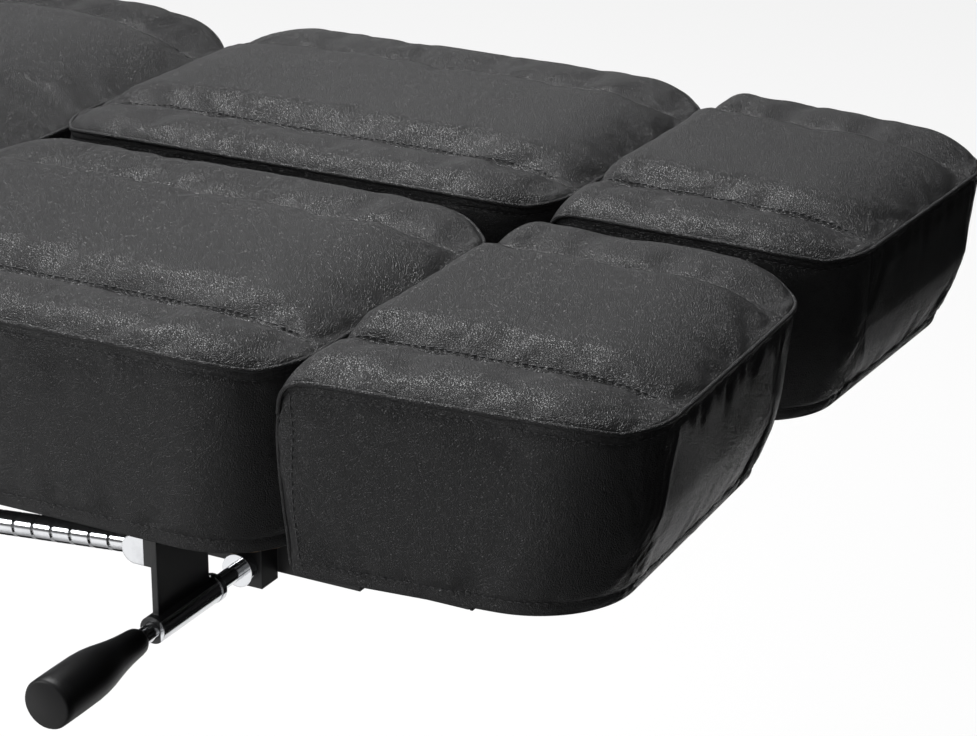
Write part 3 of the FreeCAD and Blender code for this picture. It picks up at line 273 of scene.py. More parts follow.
# Bolts and the leg hinge rod: rolled steel, screwed or pushed in.
# Their dull zinc plate has cloudy grains.
zinc_light = (0.56, 0.57, 0.58, 1)
zinc_dark = (0.38, 0.39, 0.41, 1)
dull_zinc, bench = finish("dull_zinc")
place = bench.node("ShaderNodeTexCoord", {}, {}, "Object")
grains = bench.node("ShaderNodeTexVoronoi", {}, {"Vector": place, "Scale": 260.0}, "Color")
shade = bench.node("ShaderNodeSeparateColor", {}, {0: grains})
rounded = bench.node("ShaderNodeBevel", {"samples": 4}, {"Radius": edge_round / 2})
skin = bench.node("ShaderNodeBsdfPrincipled", {}, {
    "Base Color": shade.blend(zinc_light, zinc_dark), "Metallic": 1.0, "Roughness": 0.28 + 0.16 * shade,
    "Normal": rounded})
bench.node("ShaderNodeOutputMaterial", {}, {"Surface": skin})
dress(["pump_bolts", "seat_bolts", "leg_hinge_rod"], dull_zinc)

# Hub, seat frame, side plates, arm brackets, back frame and gas cylinder: welded and pressed steel.
# They have the same powder coat as the base.
dress(["swivel_hub", "seat_frame", "back_side_plates", "arm_brackets", "gas_cylinder", "back_frame"], powder_steel)

# Knobs and the lever's grip: black plastic, moulded on threaded studs and pushed on the lever.
# Its skin has the fine pits of a spark-eroded mould.
plastic_black = (0.006, 0.006, 0.0065, 1)
plastic_worn = (0.016, 0.016, 0.017, 1)
black_plastic, bench = finish("black_plastic")
place = bench.node("ShaderNodeTexCoord", {}, {}, "Object")
spark = bench.node("ShaderNodeTexNoise", {}, {"Vector": place, "Scale": 1700.0, "Detail": 2.0})
touch = bench.node("ShaderNodeTexNoise", {}, {"Vector": place, "Scale": 45.0, "Detail": 4.0})
rounded = bench.node("ShaderNodeBevel", {"samples": 4}, {"Radius": edge_round})
bump = bench.node("ShaderNodeBump", {}, {"Strength": 0.3, "Distance": 0.00015, "Height": spark,
                                         "Normal": rounded})
skin = bench.node("ShaderNodeBsdfPrincipled", {}, {
    "Base Color": touch.between(0.5, 0.9).blend(plastic_black, plastic_worn), "Roughness": 0.36 + 0.14 * touch,
    "Normal": bump, "IOR": 1.33})
bench.node("ShaderNodeOutputMaterial", {}, {"Surface": skin})
dress(["recline_grip", "headrest_knob", "arm_knob_near", "arm_knob_far"], black_plastic)

# Boards: sawn birch plywood under every cushion, screwed to the frames. The edges show the plies.
# A thin black dust cloth is stapled over the underside.
ply_light = (0.52, 0.36, 0.2, 1)
ply_dark = (0.33, 0.2, 0.1, 1)
ply_thickness = 0.0015
cloth_black = (0.006, 0.006, 0.006, 1)
cloth_grey = (0.025, 0.025, 0.026, 1)
plywood, bench = finish("plywood")
place = bench.node("ShaderNodeTexCoord", {}, {}, "Object")
stretched = bench.node("ShaderNodeVectorMath", {"operation": "MULTIPLY"}, {0: place, 1: (7.0, 90.0, 90.0)})
grain = bench.node("ShaderNodeTexNoise", {}, {"Vector": stretched, "Scale": 1.0, "Detail": 6.0, "Roughness": 0.6,
                                              "Distortion": 0.6})
height = bench.node("ShaderNodeSeparateXYZ", {}, {0: place}, "Z")
phase = height * (math.pi / ply_thickness)
plies = phase.maths("SINE", phase).between(-0.3, 0.3)
facing = bench.node("ShaderNodeTexCoord", {}, {}, "Normal")
upward = bench.node("ShaderNodeSeparateXYZ", {}, {0: facing}, "Z")
flatness = upward.maths("ABSOLUTE", upward)
cloth_side = (-1 * upward).between(0.5, 0.6)
tone = grain.between(0.3, 0.7) * flatness + plies * (1 - flatness)
threads = bench.node("ShaderNodeTexNoise", {}, {"Vector": place, "Scale": 900.0, "Detail": 2.0})
bump = bench.node("ShaderNodeBump", {}, {"Strength": 0.3, "Distance": 0.0003, "Height": grain})
skin = bench.node("ShaderNodeBsdfPrincipled", {}, {
    "Base Color": cloth_side.blend(tone.blend(ply_light, ply_dark), threads.blend(cloth_black, cloth_grey)),
    "Roughness": 0.6 + 0.15 * grain + 0.2 * cloth_side, "Normal": bump})
bench.node("ShaderNodeOutputMaterial", {}, {"Surface": skin})
dress(["seat_board", "back_board", "headrest_board"], plywood)
for side in both_sides:
    dress([f"leg_board_{side}"], plywood)
    dress([f"arm_plate_{side}", f"leg_frame_{side}"], powder_steel)
    dress([f"arm_post_{side}", f"stay_tube_{side}", f"stay_bar_{side}", f"clamp_rod_{side}"], bright_chrome)

# Upholstery leather: black coated hide with a fine pebble grain, soft folds and a satin sheen.
# It is cut in panels, sewn and stretched over the foam.
hide_black = (0.009, 0.009, 0.0095, 1)
hide_grey = (0.02, 0.02, 0.021, 1)
pebble_scale = 840.0
black_leather, bench = finish("black_leather")
place = bench.node("ShaderNodeTexCoord", {}, {}, "Object")
drift = bench.node("ShaderNodeTexNoise", {}, {"Vector": place, "Scale": 160.0, "Detail": 2.0}, "Color")
wavy = bench.node("ShaderNodeVectorMath", {"operation": "MULTIPLY_ADD"},
                  {0: drift, 1: (0.003, 0.003, 0.003), 2: place})
pebble = bench.node("ShaderNodeTexVoronoi", {"feature": "DISTANCE_TO_EDGE"}, {"Vector": wavy, "Scale": pebble_scale})
pebble = pebble.between(0.0, 0.22)
pores = bench.node("ShaderNodeTexNoise", {}, {"Vector": place, "Scale": 2200.0, "Detail": 2.0})
folds = bench.node("ShaderNodeTexNoise", {}, {"Vector": place, "Scale": 24.0, "Detail": 5.0, "Roughness": 0.55,
                                              "Distortion": 0.8})
cloud = bench.node("ShaderNodeTexNoise", {}, {"Vector": place, "Scale": 11.0, "Detail": 4.0, "Roughness": 0.6})
relief = 0.7 * pebble + 0.35 * pores + 1.4 * folds
bump = bench.node("ShaderNodeBump", {}, {"Strength": 0.75, "Distance": 0.0005, "Height": relief})
skin = bench.node("ShaderNodeBsdfPrincipled", {}, {
    "Base Color": (0.5 * cloud + 0.5 * pebble).blend(hide_black, hide_grey),
    "Roughness": 0.25 + 0.12 * cloud + 0.12 * (1 - pebble),
    "Normal": bump, "IOR": 1.38})
bench.node("ShaderNodeOutputMaterial", {}, {"Surface": skin})

# Thread: three-ply black polyester, waxed and twisted, sewn by machine.
# It is matt against the leather. Its lighter bands along the twist are painted sheen on the ply crowns.
thread_black = (0.01, 0.01, 0.011, 1)
# The lighter thread colour is painted sheen on the ply crowns; the thread itself is all black.
thread_painted_sheen = (0.055, 0.055, 0.058, 1)
black_thread, bench = finish("black_thread")
place = bench.node("ShaderNodeTexCoord", {}, {}, "Object")
twist_and_painted_sheen = bench.node("ShaderNodeTexWave", {"bands_direction": "DIAGONAL"}, {"Vector": place, "Scale": 900.0})
bump = bench.node("ShaderNodeBump", {}, {"Strength": 0.5, "Distance": 0.0002, "Height": twist_and_painted_sheen})
# Colour: black with painted sheen in bands along the twist. The same twist also drives a real bump.
skin = bench.node("ShaderNodeBsdfPrincipled", {}, {
    "Base Color": twist_and_painted_sheen.blend(thread_black, thread_painted_sheen), "Roughness": 0.6, "Normal": bump})
bench.node("ShaderNodeOutputMaterial", {}, {"Surface": skin})

# Cushions: cut foam on a board under a sewn cover. The cover has a middle panel, two puffed side rolls, a piped
# edge, a boxing with a row of topstitch under the piping, and a stitched hem band stapled under the board.
edge_drop = 0.026
roll_width = 0.059
roll_rise = 0.009
seam_lift = 0.0045
panel_rise = 0.0135
panel_climb = 0.034
ridge_rise = 0.0018
ridge_place = 0.017
ridge_spread = 0.011
side_tuck = 0.004
end_droop = 0.006
end_run = 0.078
corner_radius = 0.054
board_inset = 0.0056
board_gap = 0.0004
grid_step = 0.0065
seam_offsets = (-0.0105, -0.0065, -0.003, -0.0012, 0.0, 0.0012, 0.003, 0.0065, 0.0105)
seam_depth = 0.0022
seam_reach = 0.0024
end_stops = (0.0008, 0.0026, 0.0055, 0.0095, 0.0145)
boxing_top = (0.0016, 0.0038, 0.0062, 0.0085, 0.013, 0.02)
boxing_low = (0.014, 0.0105, 0.0085, 0.006, 0.0015, 0.0)
boxing_step = 0.0095
stitch_drop = 0.0062
hem_band = 0.0085
toe_skew = 0.01
toe_dip = 0.002
tuck_levels = (0.0, 0.07, 0.27, 0.47, 0.75, 1.0)
tuck_shares = (1.0, 0.88, 0.55, 0.3, 0.19, 0.0)
roll_power = 2.6
end_power = 2.95
climb_power = 2.2
groove_fade = 1.6
stitch_pull = 0.0007
stitch_pull_reach = 0.0016
hem_pull = 0.0006
hem_pull_reach = 0.0018
welt_pull = 0.0009
welt_pull_place = 0.0016
welt_pull_reach = 0.0014
piping_radius = 0.0015
stitch_pitch = 0.0047
stitch_length = 0.0036
stitch_radius = 0.00042
stitch_beside = 0.0026
puff_limit = 0.0018
sim_frames = 20
pressure = 4.0
cover_shrink = -0.035
cover_stiffness = 12.0
cover_bending = 0.4


def grid_lines(length, stops, step):
    """Places from 0 to length that pass through the stops and lie about a step apart."""
    kept = sorted({0.0, length, *[stop for stop in stops if 0 < stop < length]})
    places = [0.0]
    for low, high in zip(kept, kept[1:]):
        count = max(1, round((high - low) / step))
        places += [low + (high - low) * i / count for i in range(1, count + 1)]
    return np.array(places)


def round_corners(a, b, box, radii):
    """Shares a along and b across a box, with the squares at its corners drawn in to quarter discs."""
    x0, x1, y0, y1 = box
    x = x0 + (x1 - x0) * a
    y = y0 + (y1 - y0) * b
    across = np.where(b < 0.5, -1.0, 1.0)
    for sign, radius in ((-1, radii[0]), (1, radii[1])):
        u = (x0 + radius - x if sign < 0 else x - x1 + radius) / radius
        v = np.where(b < 0.5, y0 + radius - y, y - y1 + radius) / radius
        inside = (u > 0) & (v > 0)
        u = np.where(inside, u, 0)
        v = np.where(inside, v, 0)
        x = x + sign * radius * (u * np.sqrt(1 - v * v / 2) - u)
        y = y + across * radius * (v * np.sqrt(1 - u * u / 2) - v)
    return x, y


class Pad:
    """The lines of one cushion's sewn cover, in metres, worked out from its CAD solid's box."""

    def __init__(self, node, board=True, radii=(corner_radius, corner_radius), roll=roll_width,
                 rises=(roll_rise, panel_rise), foot=(end_droop, end_run), toe_tuck=side_tuck, edge_drop=edge_drop,
                 narrowing=0.0, nose=0.0):
        low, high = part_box(node)
        self.node = node
        self.box = (low.x, high.x, low.y, high.y)
        self.narrowing = narrowing
        self.hem = low.z
        self.edge = high.z - edge_drop
        self.board_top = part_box(node.replace("cushion", "board"))[1].z if board else None
        self.radii = radii
        self.roll = roll
        self.rises = rises
        self.nose = nose
        self.foot = foot
        self.tucks = (side_tuck, side_tuck, toe_tuck)
        self.length = self.box[1] - self.box[0]
        self.width = self.box[3] - self.box[2]
        self.height = self.edge - self.hem

    def ends(self, a):
        """How full the pad is at a share of its length, and how far its edge droops there."""
        if self.nose:
            away = np.clip(a * self.length / self.nose, 0, 1)
            full = np.sqrt(1 - (1 - away) ** 2)
            fall = self.nose * (1 - full)
        else:
            full = 1 - np.clip(1 - a * self.length / end_run, 0, 1) ** end_power
            fall = end_droop * (1 - full)
        droop, run = self.foot
        grown = 1 - np.clip(1 - (1 - a) * self.length / run, 0, 1) ** end_power
        return full * grown, fall + droop * (1 - grown)

    def top(self, a, b):
        """The height of the top at shares a along and b across."""
        full, fall = self.ends(a)
        roll_top, panel_top = self.rises
        away = np.minimum(b, 1 - b) * self.width
        t = np.clip(away / self.roll, 0, 1)
        lift = seam_lift * roll_top / roll_rise
        base = np.where(t < 0.5, 0.0, lift)
        rolled = base + (roll_top - base) * (1 - np.abs(2 * t - 1) ** roll_power)
        past = np.clip(away - self.roll, 0, None)
        climb = lift + (panel_top - lift) * (1 - (1 - np.clip(past / panel_climb, 0, 1)) ** climb_power)
        ridge = ridge_rise * np.exp(-((past - ridge_place) / ridge_spread) ** 2) * np.clip(past / ridge_place, 0, 1)
        groove = seam_depth * np.exp(-((away - self.roll) / seam_reach) ** 2)
        across = np.where(away < self.roll, rolled, climb + ridge)
        return self.edge - fall + full * across - np.clip(full * groove_fade, 0, 1) * groove

    def side(self, a, b, drop):
        """A place on the boxing, a drop below the edge, at an outline place a, b."""
        fall = self.ends(a)[1]
        share = 1 - np.clip(drop / self.height, 0, 1)
        tuck = np.interp(share, tuck_levels, tuck_shares)
        sewn = stitch_pull * np.exp(-((drop - stitch_drop) / stitch_pull_reach) ** 2)
        hemmed = hem_pull * np.exp(-((self.height - drop - hem_band) / hem_pull_reach) ** 2)
        under = welt_pull * np.exp(-((drop - welt_pull_place) / welt_pull_reach) ** 2)
        x0, x1, y0, y1 = self.box
        low, side, high = [tuck * value + sewn + hemmed + under for value in self.tucks]
        x, y = round_corners(a, b, (x0 + low, x1 - high, y0 + side, y1 - side), self.radii)
        return x, y, self.hem + (self.height - fall) * share

    def toe_in(self, x, y, z):
        """Draws the toe end in: its outer side towards the chair's middle, and its inner corner back."""
        if not self.narrowing:
            return x, y, z
        inner = min(abs(self.box[2]), abs(self.box[3]))
        along = (x - self.box[0]) / self.length
        out = (np.abs(y) - inner) / self.width
        lift = (z - self.hem) / self.height
        return (x - toe_skew * (1 - out) * along, y - np.sign(y) * self.narrowing * out * along,
                z - toe_dip * along * lift)

    def board_ring(self, a, b, inset, z):
        """The board's outline at a height, an inset inside the cover's edge."""
        x0, x1, y0, y1 = self.box
        box = (x0 + inset, x1 - inset - self.tucks[2] + side_tuck, y0 + inset, y1 - inset)
        x, y = round_corners(a, b, box, [radius - inset for radius in self.radii])
        return np.column_stack(self.toe_in(x, y, np.full(len(x), z)))


def pad_mesh(pad):
    """The cover as one mesh: top grid, boxing rings, hem and the hollow for the board."""
    seams = [pad.roll, pad.width - pad.roll]
    near_ends = [*end_stops, *[pad.length - stop for stop in end_stops[1:]]]
    near_edges = [0.003, 0.009, pad.width - 0.009, pad.width - 0.003]
    along = grid_lines(pad.length, near_ends, grid_step) / pad.length
    near_seams = [seam + offset for seam in seams for offset in seam_offsets]
    across = grid_lines(pad.width, [*near_edges, *near_seams], grid_step) / pad.width
    count_a, count_b = len(along), len(across)
    a, b = [grid.ravel() for grid in np.meshgrid(along, across, indexing="ij")]
    x, y = round_corners(a, b, pad.box, pad.radii)
    points = [np.column_stack(pad.toe_in(x, y, pad.top(a, b)))]
    index = np.arange(count_a * count_b).reshape(count_a, count_b)
    faces = [(index[i, j], index[i + 1, j], index[i + 1, j + 1], index[i, j + 1])
             for i in range(count_a - 1) for j in range(count_b - 1)]
    loop = np.array([*index[:, 0], *index[-1, 1:], *index[-2::-1, -1], *index[0, -2:0:-1]])
    ring_a, ring_b = a[loop], b[loop]
    first, last = boxing_top[-1], pad.height - boxing_low[0]
    count = max(1, round((last - first) / boxing_step))
    middle = [first + (last - first) * i / count for i in range(1, count)] if last > first else []
    rings = [np.column_stack(pad.toe_in(*pad.side(ring_a, ring_b, drop)))
             for drop in (*boxing_top, *middle, *[pad.height - up for up in boxing_low])]
    sewn_rings = (boxing_top.index(stitch_drop), len(rings) - 1, len(rings) - 2, len(rings) - 4)
    if pad.board_top is not None:
        rings += [pad.board_ring(ring_a, ring_b, board_inset, z) for z in (pad.hem, pad.board_top + board_gap)]
        sewn_rings += (len(rings) - 1, len(rings) - 2)
    held = {*loop.tolist(), *index[:, 0].tolist(), *index[:, -1].tolist()}
    for seam in seams:
        held.update(index[:, np.abs(across * pad.width - seam).argmin()].tolist())
    upper = loop
    for k, ring in enumerate(rings):
        lower = np.arange(len(loop)) + sum(len(part) for part in points)
        points.append(ring)
        faces += [(upper[i], lower[i], lower[i - 1], upper[i - 1]) for i in range(len(loop))]
        if k in sewn_rings:
            held.update(lower.tolist())
        upper = lower
    mesh = bpy.data.meshes.new(pad.node + "_cover")
    mesh.from_pydata(np.vstack(points).tolist(), [], [tuple(int(k) for k in face) for face in faces])
    mesh.validate()
    tidy = bmesh.new()
    tidy.from_mesh(mesh)
    bmesh.ops.recalc_face_normals(tidy, faces=tidy.faces)
    tidy.to_mesh(mesh)
    tidy.free()
    return mesh, sorted(held), loop.tolist()


def apply_modifiers(piece):
    """Replaces the piece's mesh by what its modifiers make of it."""
    graph = bpy.context.evaluated_depsgraph_get()
    made = bpy.data.meshes.new_from_object(piece.evaluated_get(graph))
    piece.modifiers.clear()
    piece.data = made


def close_board_side(piece):
    """Closes the hollow over the board with one flat face."""
    whole = bmesh.new()
    whole.from_mesh(piece.data)
    bmesh.ops.holes_fill(whole, edges=[edge for edge in whole.edges if edge.is_boundary], sides=0)
    bmesh.ops.recalc_face_normals(whole, faces=whole.faces)
    whole.to_mesh(piece.data)
    whole.free()


def stuff(piece, held):
    """Fills the cover: cloth under pressure between its sewn lines, with a limit on how far it may move."""
    rest = np.array([v.co for v in piece.data.vertices])
    group = piece.vertex_groups.new(name="sewn")
    group.add(held, 1.0, "REPLACE")
    cloth = piece.modifiers.new("cloth", "CLOTH")
    cloth.settings.use_pressure = True
    cloth.settings.uniform_pressure_force = pressure
    cloth.settings.effector_weights.gravity = 0.0
    cloth.settings.vertex_group_mass = "sewn"
    cloth.settings.shrink_min = cover_shrink
    cloth.settings.tension_stiffness = cover_stiffness
    cloth.settings.compression_stiffness = cover_stiffness
    cloth.settings.bending_stiffness = cover_bending
    cloth.settings.quality = 4
    cloth.point_cache.frame_start = 1
    cloth.point_cache.frame_end = sim_frames
    for step in range(1, sim_frames + 1):
        scene.frame_set(step)
    apply_modifiers(piece)
    moved = np.array([v.co for v in piece.data.vertices]) - rest
    length = np.linalg.norm(moved, axis=1)
    moved *= (puff_limit * np.tanh(length / puff_limit) / np.maximum(length, 1e-9))[:, None]
    piece.data.vertices.foreach_set("co", (rest + moved).ravel())
    piece.vertex_groups.clear()
    scene.frame_set(1)


def tube(rows, sides, radius, closed):
    """A round tube along rows of (place, out), as points and faces. Out is the way its first side faces."""
    points, faces = [], []
    count = len(rows)
    for k, (place, out) in enumerate(rows):
        before = rows[k - 1][0] if closed or k else place
        after = rows[(k + 1) % count][0] if closed or k + 1 < count else place
        ahead = (after - before).normalized()
        first = (out - ahead * out.dot(ahead)).normalized()
        second = ahead.cross(first)
        points += [place + radius * (math.cos(angle) * first + math.sin(angle) * second)
                   for angle in (2 * math.pi * i / sides for i in range(sides))]
    for k in range(count if closed else count - 1):
        this, following = k * sides, (k + 1) % count * sides
        faces += [(this + i, this + (i + 1) % sides, following + (i + 1) % sides, following + i)
                  for i in range(sides)]
    if not closed:
        faces += [tuple(range(sides))[::-1], tuple(range((count - 1) * sides, count * sides))]
    return points, faces


def add_piece(name, points, faces, made, body, slot):
    """A new smooth piece that rides on a body."""
    mesh = bpy.data.meshes.new(name)
    mesh.from_pydata([tuple(point) for point in points], [], faces)
    mesh.materials.append(made)
    mesh.shade_smooth()
    piece = bpy.data.objects.new(name, mesh)
    scene.collection.objects.link(piece)
    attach(piece, body)
    return piece


def even_walk(line, pitch):
    """Places and headings along a line of points, a pitch apart."""
    steps = [(after - before).length for before, after in zip(line, line[1:])]
    count = int(sum(steps) / pitch)
    places = []
    k, done = 0, 0.0
    for i in range(count):
        goal = (i + 0.5) * sum(steps) / count
        while done + steps[k] < goal and k < len(steps) - 1:
            done += steps[k]
            k += 1
        share = (goal - done) / max(steps[k], 1e-9)
        places.append((line[k].lerp(line[k + 1], share), (line[k + 1] - line[k]).normalized()))
    return places


thread_sides = 5
# One stitch: how far along, how fat and how high it is at each ring, in shares of its length and radius.
stitch_form = ((-0.5, 0.3, -1.0), (-0.34, 0.85, 0.1), (0.0, 1.0, 0.45), (0.34, 0.85, 0.1), (0.5, 0.3, -1.0))


def sew(name, lines, cover, body):
    """Rows of stitches on a cover: each is a short thread that dips into the leather at both ends."""
    points, faces = [], []
    for line in lines:
        for place, ahead in even_walk(line, stitch_pitch):
            spot, normal = cover.find_nearest(place)[:2]
            across = ahead.cross(normal).normalized()
            start = len(points)
            for along, fat, lift in stitch_form:
                centre = spot + ahead * along * stitch_length + normal * lift * stitch_radius
                points += [centre + stitch_radius * fat * (math.cos(angle) * across + math.sin(angle) * normal)
                           for angle in (2 * math.pi * i / thread_sides for i in range(thread_sides))]
            for ring in range(len(stitch_form) - 1):
                low, high = start + ring * thread_sides, start + (ring + 1) * thread_sides
                faces += [(low + i, low + (i + 1) % thread_sides, high + (i + 1) % thread_sides, high + i)
                          for i in range(thread_sides)]
            faces += [tuple(range(start, start + thread_sides))[::-1],
                      tuple(range(len(points) - thread_sides, len(points)))]
    add_piece(name, points, faces, black_thread, body, "black_leather")


soft_scale = 22
soft_height = 0.0006
upright_scale = 95
upright_stretch = 16
upright_height = 0.0006
upright_share = 0.25
fold_end = 0.012
fold_limit = 0.06
fold_height = 0.00028
fold_place = 0.014
fold_reach = 0.016
fold_count = 13
fine_fold_count = 21
fine_fold_share = 0.6
bare_band = 0.001
under_facing = -0.5


def crease(piece, pad, seed):
    """Small soft folds: shallow waves on the top, upright ones low on the boxing, and short ones at seam ends."""
    mesh = piece.data
    count = len(mesh.vertices)
    place = np.zeros(count * 3)
    mesh.vertices.foreach_get("co", place)
    place = place.reshape(-1, 3)
    normal = np.zeros(count * 3)
    mesh.vertices.foreach_get("normal", normal)
    normal = normal.reshape(-1, 3)
    x0, x1, y0, y1 = pad.box
    seam_ends = [(x, y) for x in (x0 + fold_end, x1 - fold_end) for y in (y0 + pad.roll, y1 - pad.roll)]
    shift = np.zeros(count)
    for k in range(count):
        x, y, z = place[k]
        if z < pad.hem + bare_band or normal[k][2] < under_facing:
            continue
        soft = noise.noise(Vector((x * soft_scale + seed, y * soft_scale, z * soft_scale)))
        low = math.exp(-((z - pad.hem) / pad.height / upright_share) ** 2)
        upright = noise.noise(Vector((x * upright_scale + seed, y * upright_scale, z * upright_stretch)))
        shift[k] = soft_height * soft + upright_height * low * upright
        for end_x, end_y in seam_ends:
            away = math.hypot(x - end_x, y - end_y)
            if away < fold_limit:
                turn = math.atan2(y - end_y, x - end_x)
                fine = fine_fold_share * math.cos(fine_fold_count * turn + seed * 2)
                fold = math.cos(fold_count * turn + 2 * soft + seed) + fine
                shift[k] += fold_height * fold * math.exp(-((away - fold_place) / fold_reach) ** 2)
    place += normal * shift[:, None]
    mesh.vertices.foreach_set("co", place.ravel())
    mesh.update()


row_inset = 0.014
nose_inset = 0.006
nose_row = 0.0105
row_points = 60
edge_points = 90
fall_points = 24
fall_share = 0.95


def stitch_lines(pad):
    """The rows of stitches: beside each seam, under the welt and over the hem."""
    lines = []
    ends = np.linspace((nose_inset if pad.nose else row_inset) / pad.length, 1 - row_inset / pad.length, row_points)
    for row in (pad.roll + stitch_beside, pad.width - pad.roll - stitch_beside):
        b = np.full(len(ends), row / pad.width)
        x, y = round_corners(ends, b, pad.box, pad.radii)
        lines.append([Vector(point) for point in zip(*pad.toe_in(x, y, pad.top(ends, b)))])
    across = np.linspace(0, 1, row_points)[1:-1]
    low, high = np.zeros(edge_points), np.ones(edge_points)
    back_a, back_b = np.zeros(len(across) + 1), np.array([*across[::-1], 0.0])
    along = np.linspace(nose_row / pad.length if pad.nose else 0, 1, edge_points)
    a = np.concatenate([along, np.ones(len(across)), along[::-1]])
    b = np.concatenate([low, across, high])
    if pad.nose:
        fall = np.linspace(fall_share * pad.height, 2 * stitch_drop, fall_points)
        drop = np.concatenate([fall, np.full(len(a), stitch_drop), fall[::-1]])
        a = np.concatenate([np.full(fall_points, along[0]), a, np.full(fall_points, along[0])])
        b = np.concatenate([np.zeros(fall_points), b, np.ones(fall_points)])
    else:
        a, b = np.concatenate([a, back_a]), np.concatenate([b, back_b])
        drop = np.full(len(a), stitch_drop)
    lines.append([Vector(point) for point in zip(*pad.toe_in(*pad.side(a, b, drop)))])
    along = np.linspace(0, 1, edge_points)
    a = np.concatenate([along, np.ones(len(across)), along[::-1], back_a])
    b = np.concatenate([low, across, high, back_b])
    hem_row = pad.toe_in(*pad.side(a, b, np.full(len(a), pad.height - hem_band)))
    lines.append([Vector(point) for point in zip(*hem_row)])
    return lines


welt_out = 0.2
welt_up = 0.1
welt_sides = 8
welt_reach = 0.004
welt_steps = 14
welt_wobble = 0.0002
wobble_scale = 70
corner_margin = 0.0005


def upholster(pad, body, seed, template=None):
    """A finished cushion: cover, piping and stitches. A template is a like cushion to mirror across the chair."""
    if template is None:
        mesh, held, loop = pad_mesh(pad)
        piece = bpy.data.objects.new(pad.node + "_cover", mesh)
        scene.collection.objects.link(piece)
        stuff(piece, held)
    else:
        source, loop = template
        mesh = source.copy()
        mesh.transform(Matrix.Scale(-1, 4, (0, 1, 0)))
        mesh.flip_normals()
        piece = bpy.data.objects.new(pad.node + "_cover", mesh)
        scene.collection.objects.link(piece)
    made = (piece.data.copy(), loop)
    edge = [piece.data.vertices[k].co.copy() for k in loop]
    finer = piece.modifiers.new("finer", "SUBSURF")
    finer.levels = finer.render_levels = 1
    apply_modifiers(piece)
    piece.data.name = pad.node + "_cover"
    close_board_side(piece)
    crease(piece, pad, seed)
    piece.data.materials.append(black_leather)
    piece.data.shade_smooth()
    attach(piece, body)
    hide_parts(pad.node)
    cover = BVHTree.FromObject(piece, bpy.context.evaluated_depsgraph_get())

    centre = Vector(((pad.box[0] + pad.box[1]) / 2, (pad.box[2] + pad.box[3]) / 2, 0))
    path = edge
    if pad.nose:
        path = [place for place in edge if place.x > pad.box[0] + corner_margin
                or min(place.y - pad.box[2], pad.box[3] - place.y) < pad.radii[0]]
        start = max(range(len(path)), key=lambda k: (path[k] - path[k - 1]).length)
        path = path[start:] + path[:start]
        for end in (0, -1):
            corner = path[end]
            reach = (Vector((corner.x, corner.y, 0)) - centre).normalized() * welt_reach
            run = [cover.find_nearest(Vector((corner.x, corner.y, z)) + reach)[0]
                   for z in np.linspace(pad.hem, corner.z, welt_steps)[:-1]]
            path = run + path if end == 0 else path + run[::-1]
    rows = []
    for place in path:
        out = Vector((place.x - centre.x, place.y - centre.y, 0)).normalized()
        wobble = welt_wobble * noise.noise(place * wobble_scale)
        lift = Vector((0, 0, piping_radius * welt_up))
        rows.append((place + out * (piping_radius * welt_out + wobble) + lift, out))
    welt = add_piece(pad.node + "_piping", *tube(rows, welt_sides, piping_radius, not pad.nose), black_leather,
                     body, "black_leather")
    finer = welt.modifiers.new("finer", "SUBSURF")
    finer.levels = finer.render_levels = 1
    apply_modifiers(welt)
    welt.data.shade_smooth()
    sew(pad.node + "_stitches", stitch_lines(pad), cover, body)
    return made


# Seat cushion: the widest pad, screwed to the seat frame through its board.
# Its front falls away in a waterfall edge over the leg hinge.
upholster(Pad("seat_cushion", foot=(0.018, 0.13)), "seat", seed=3.1)

# Back cushion: the same make and as wide as the seat, with large corners at the head end.
# It is screwed to the back frame and lies against the seat with a narrow gap.
upholster(Pad("back_cushion", radii=(0.12, corner_radius)), "back", seed=7.4)

# Headrest cushion: a small thin pad of the same make on its own board.
# Its bracket turns on the axle between the two rods.
upholster(Pad("headrest_cushion"), "headrest", seed=11.9)

# Arm cushions: low crowned pads with a welt and one seam on each side.
# Each is screwed down on a steel plate that turns on its post.
arm = None
for side, lean in near_and_far:
    pad = Pad(f"arm_cushion_{side}", board=False, radii=(0.04, 0.04), roll=0.0325, rises=(0.009, 0.0098),
              edge_drop=0.012, foot=(0.004, end_run))
    arm = upholster(pad, f"arm_pad_{side}", seed=15.3 + lean, template=arm)

# Leg cushions: two long pads side by side, split so that each leg drops by itself.
# Both ends are rounded in plan, and the welt runs all the way round.
leg = None
for side, lean in near_and_far:
    leg = upholster(Pad(f"leg_cushion_{side}"), f"leg_{side}", seed=21.7 + lean, template=leg)

# Foot cushions: short thick pads at the end of each leg. Their toe side leans in towards the hem.
# The head end is a plain rounded nose between two side panels, whose welts run down the corners.
foot_form = {"radii": (0.01, corner_radius), "toe_tuck": 0.023, "narrowing": 0.021}
foot_nose = 0.021
foot = None
for side, lean in near_and_far:
    pad = Pad(f"foot_cushion_{side}", nose=foot_nose, **foot_form)
    foot = upholster(pad, f"foot_{side}", seed=31.2 + lean, template=foot)

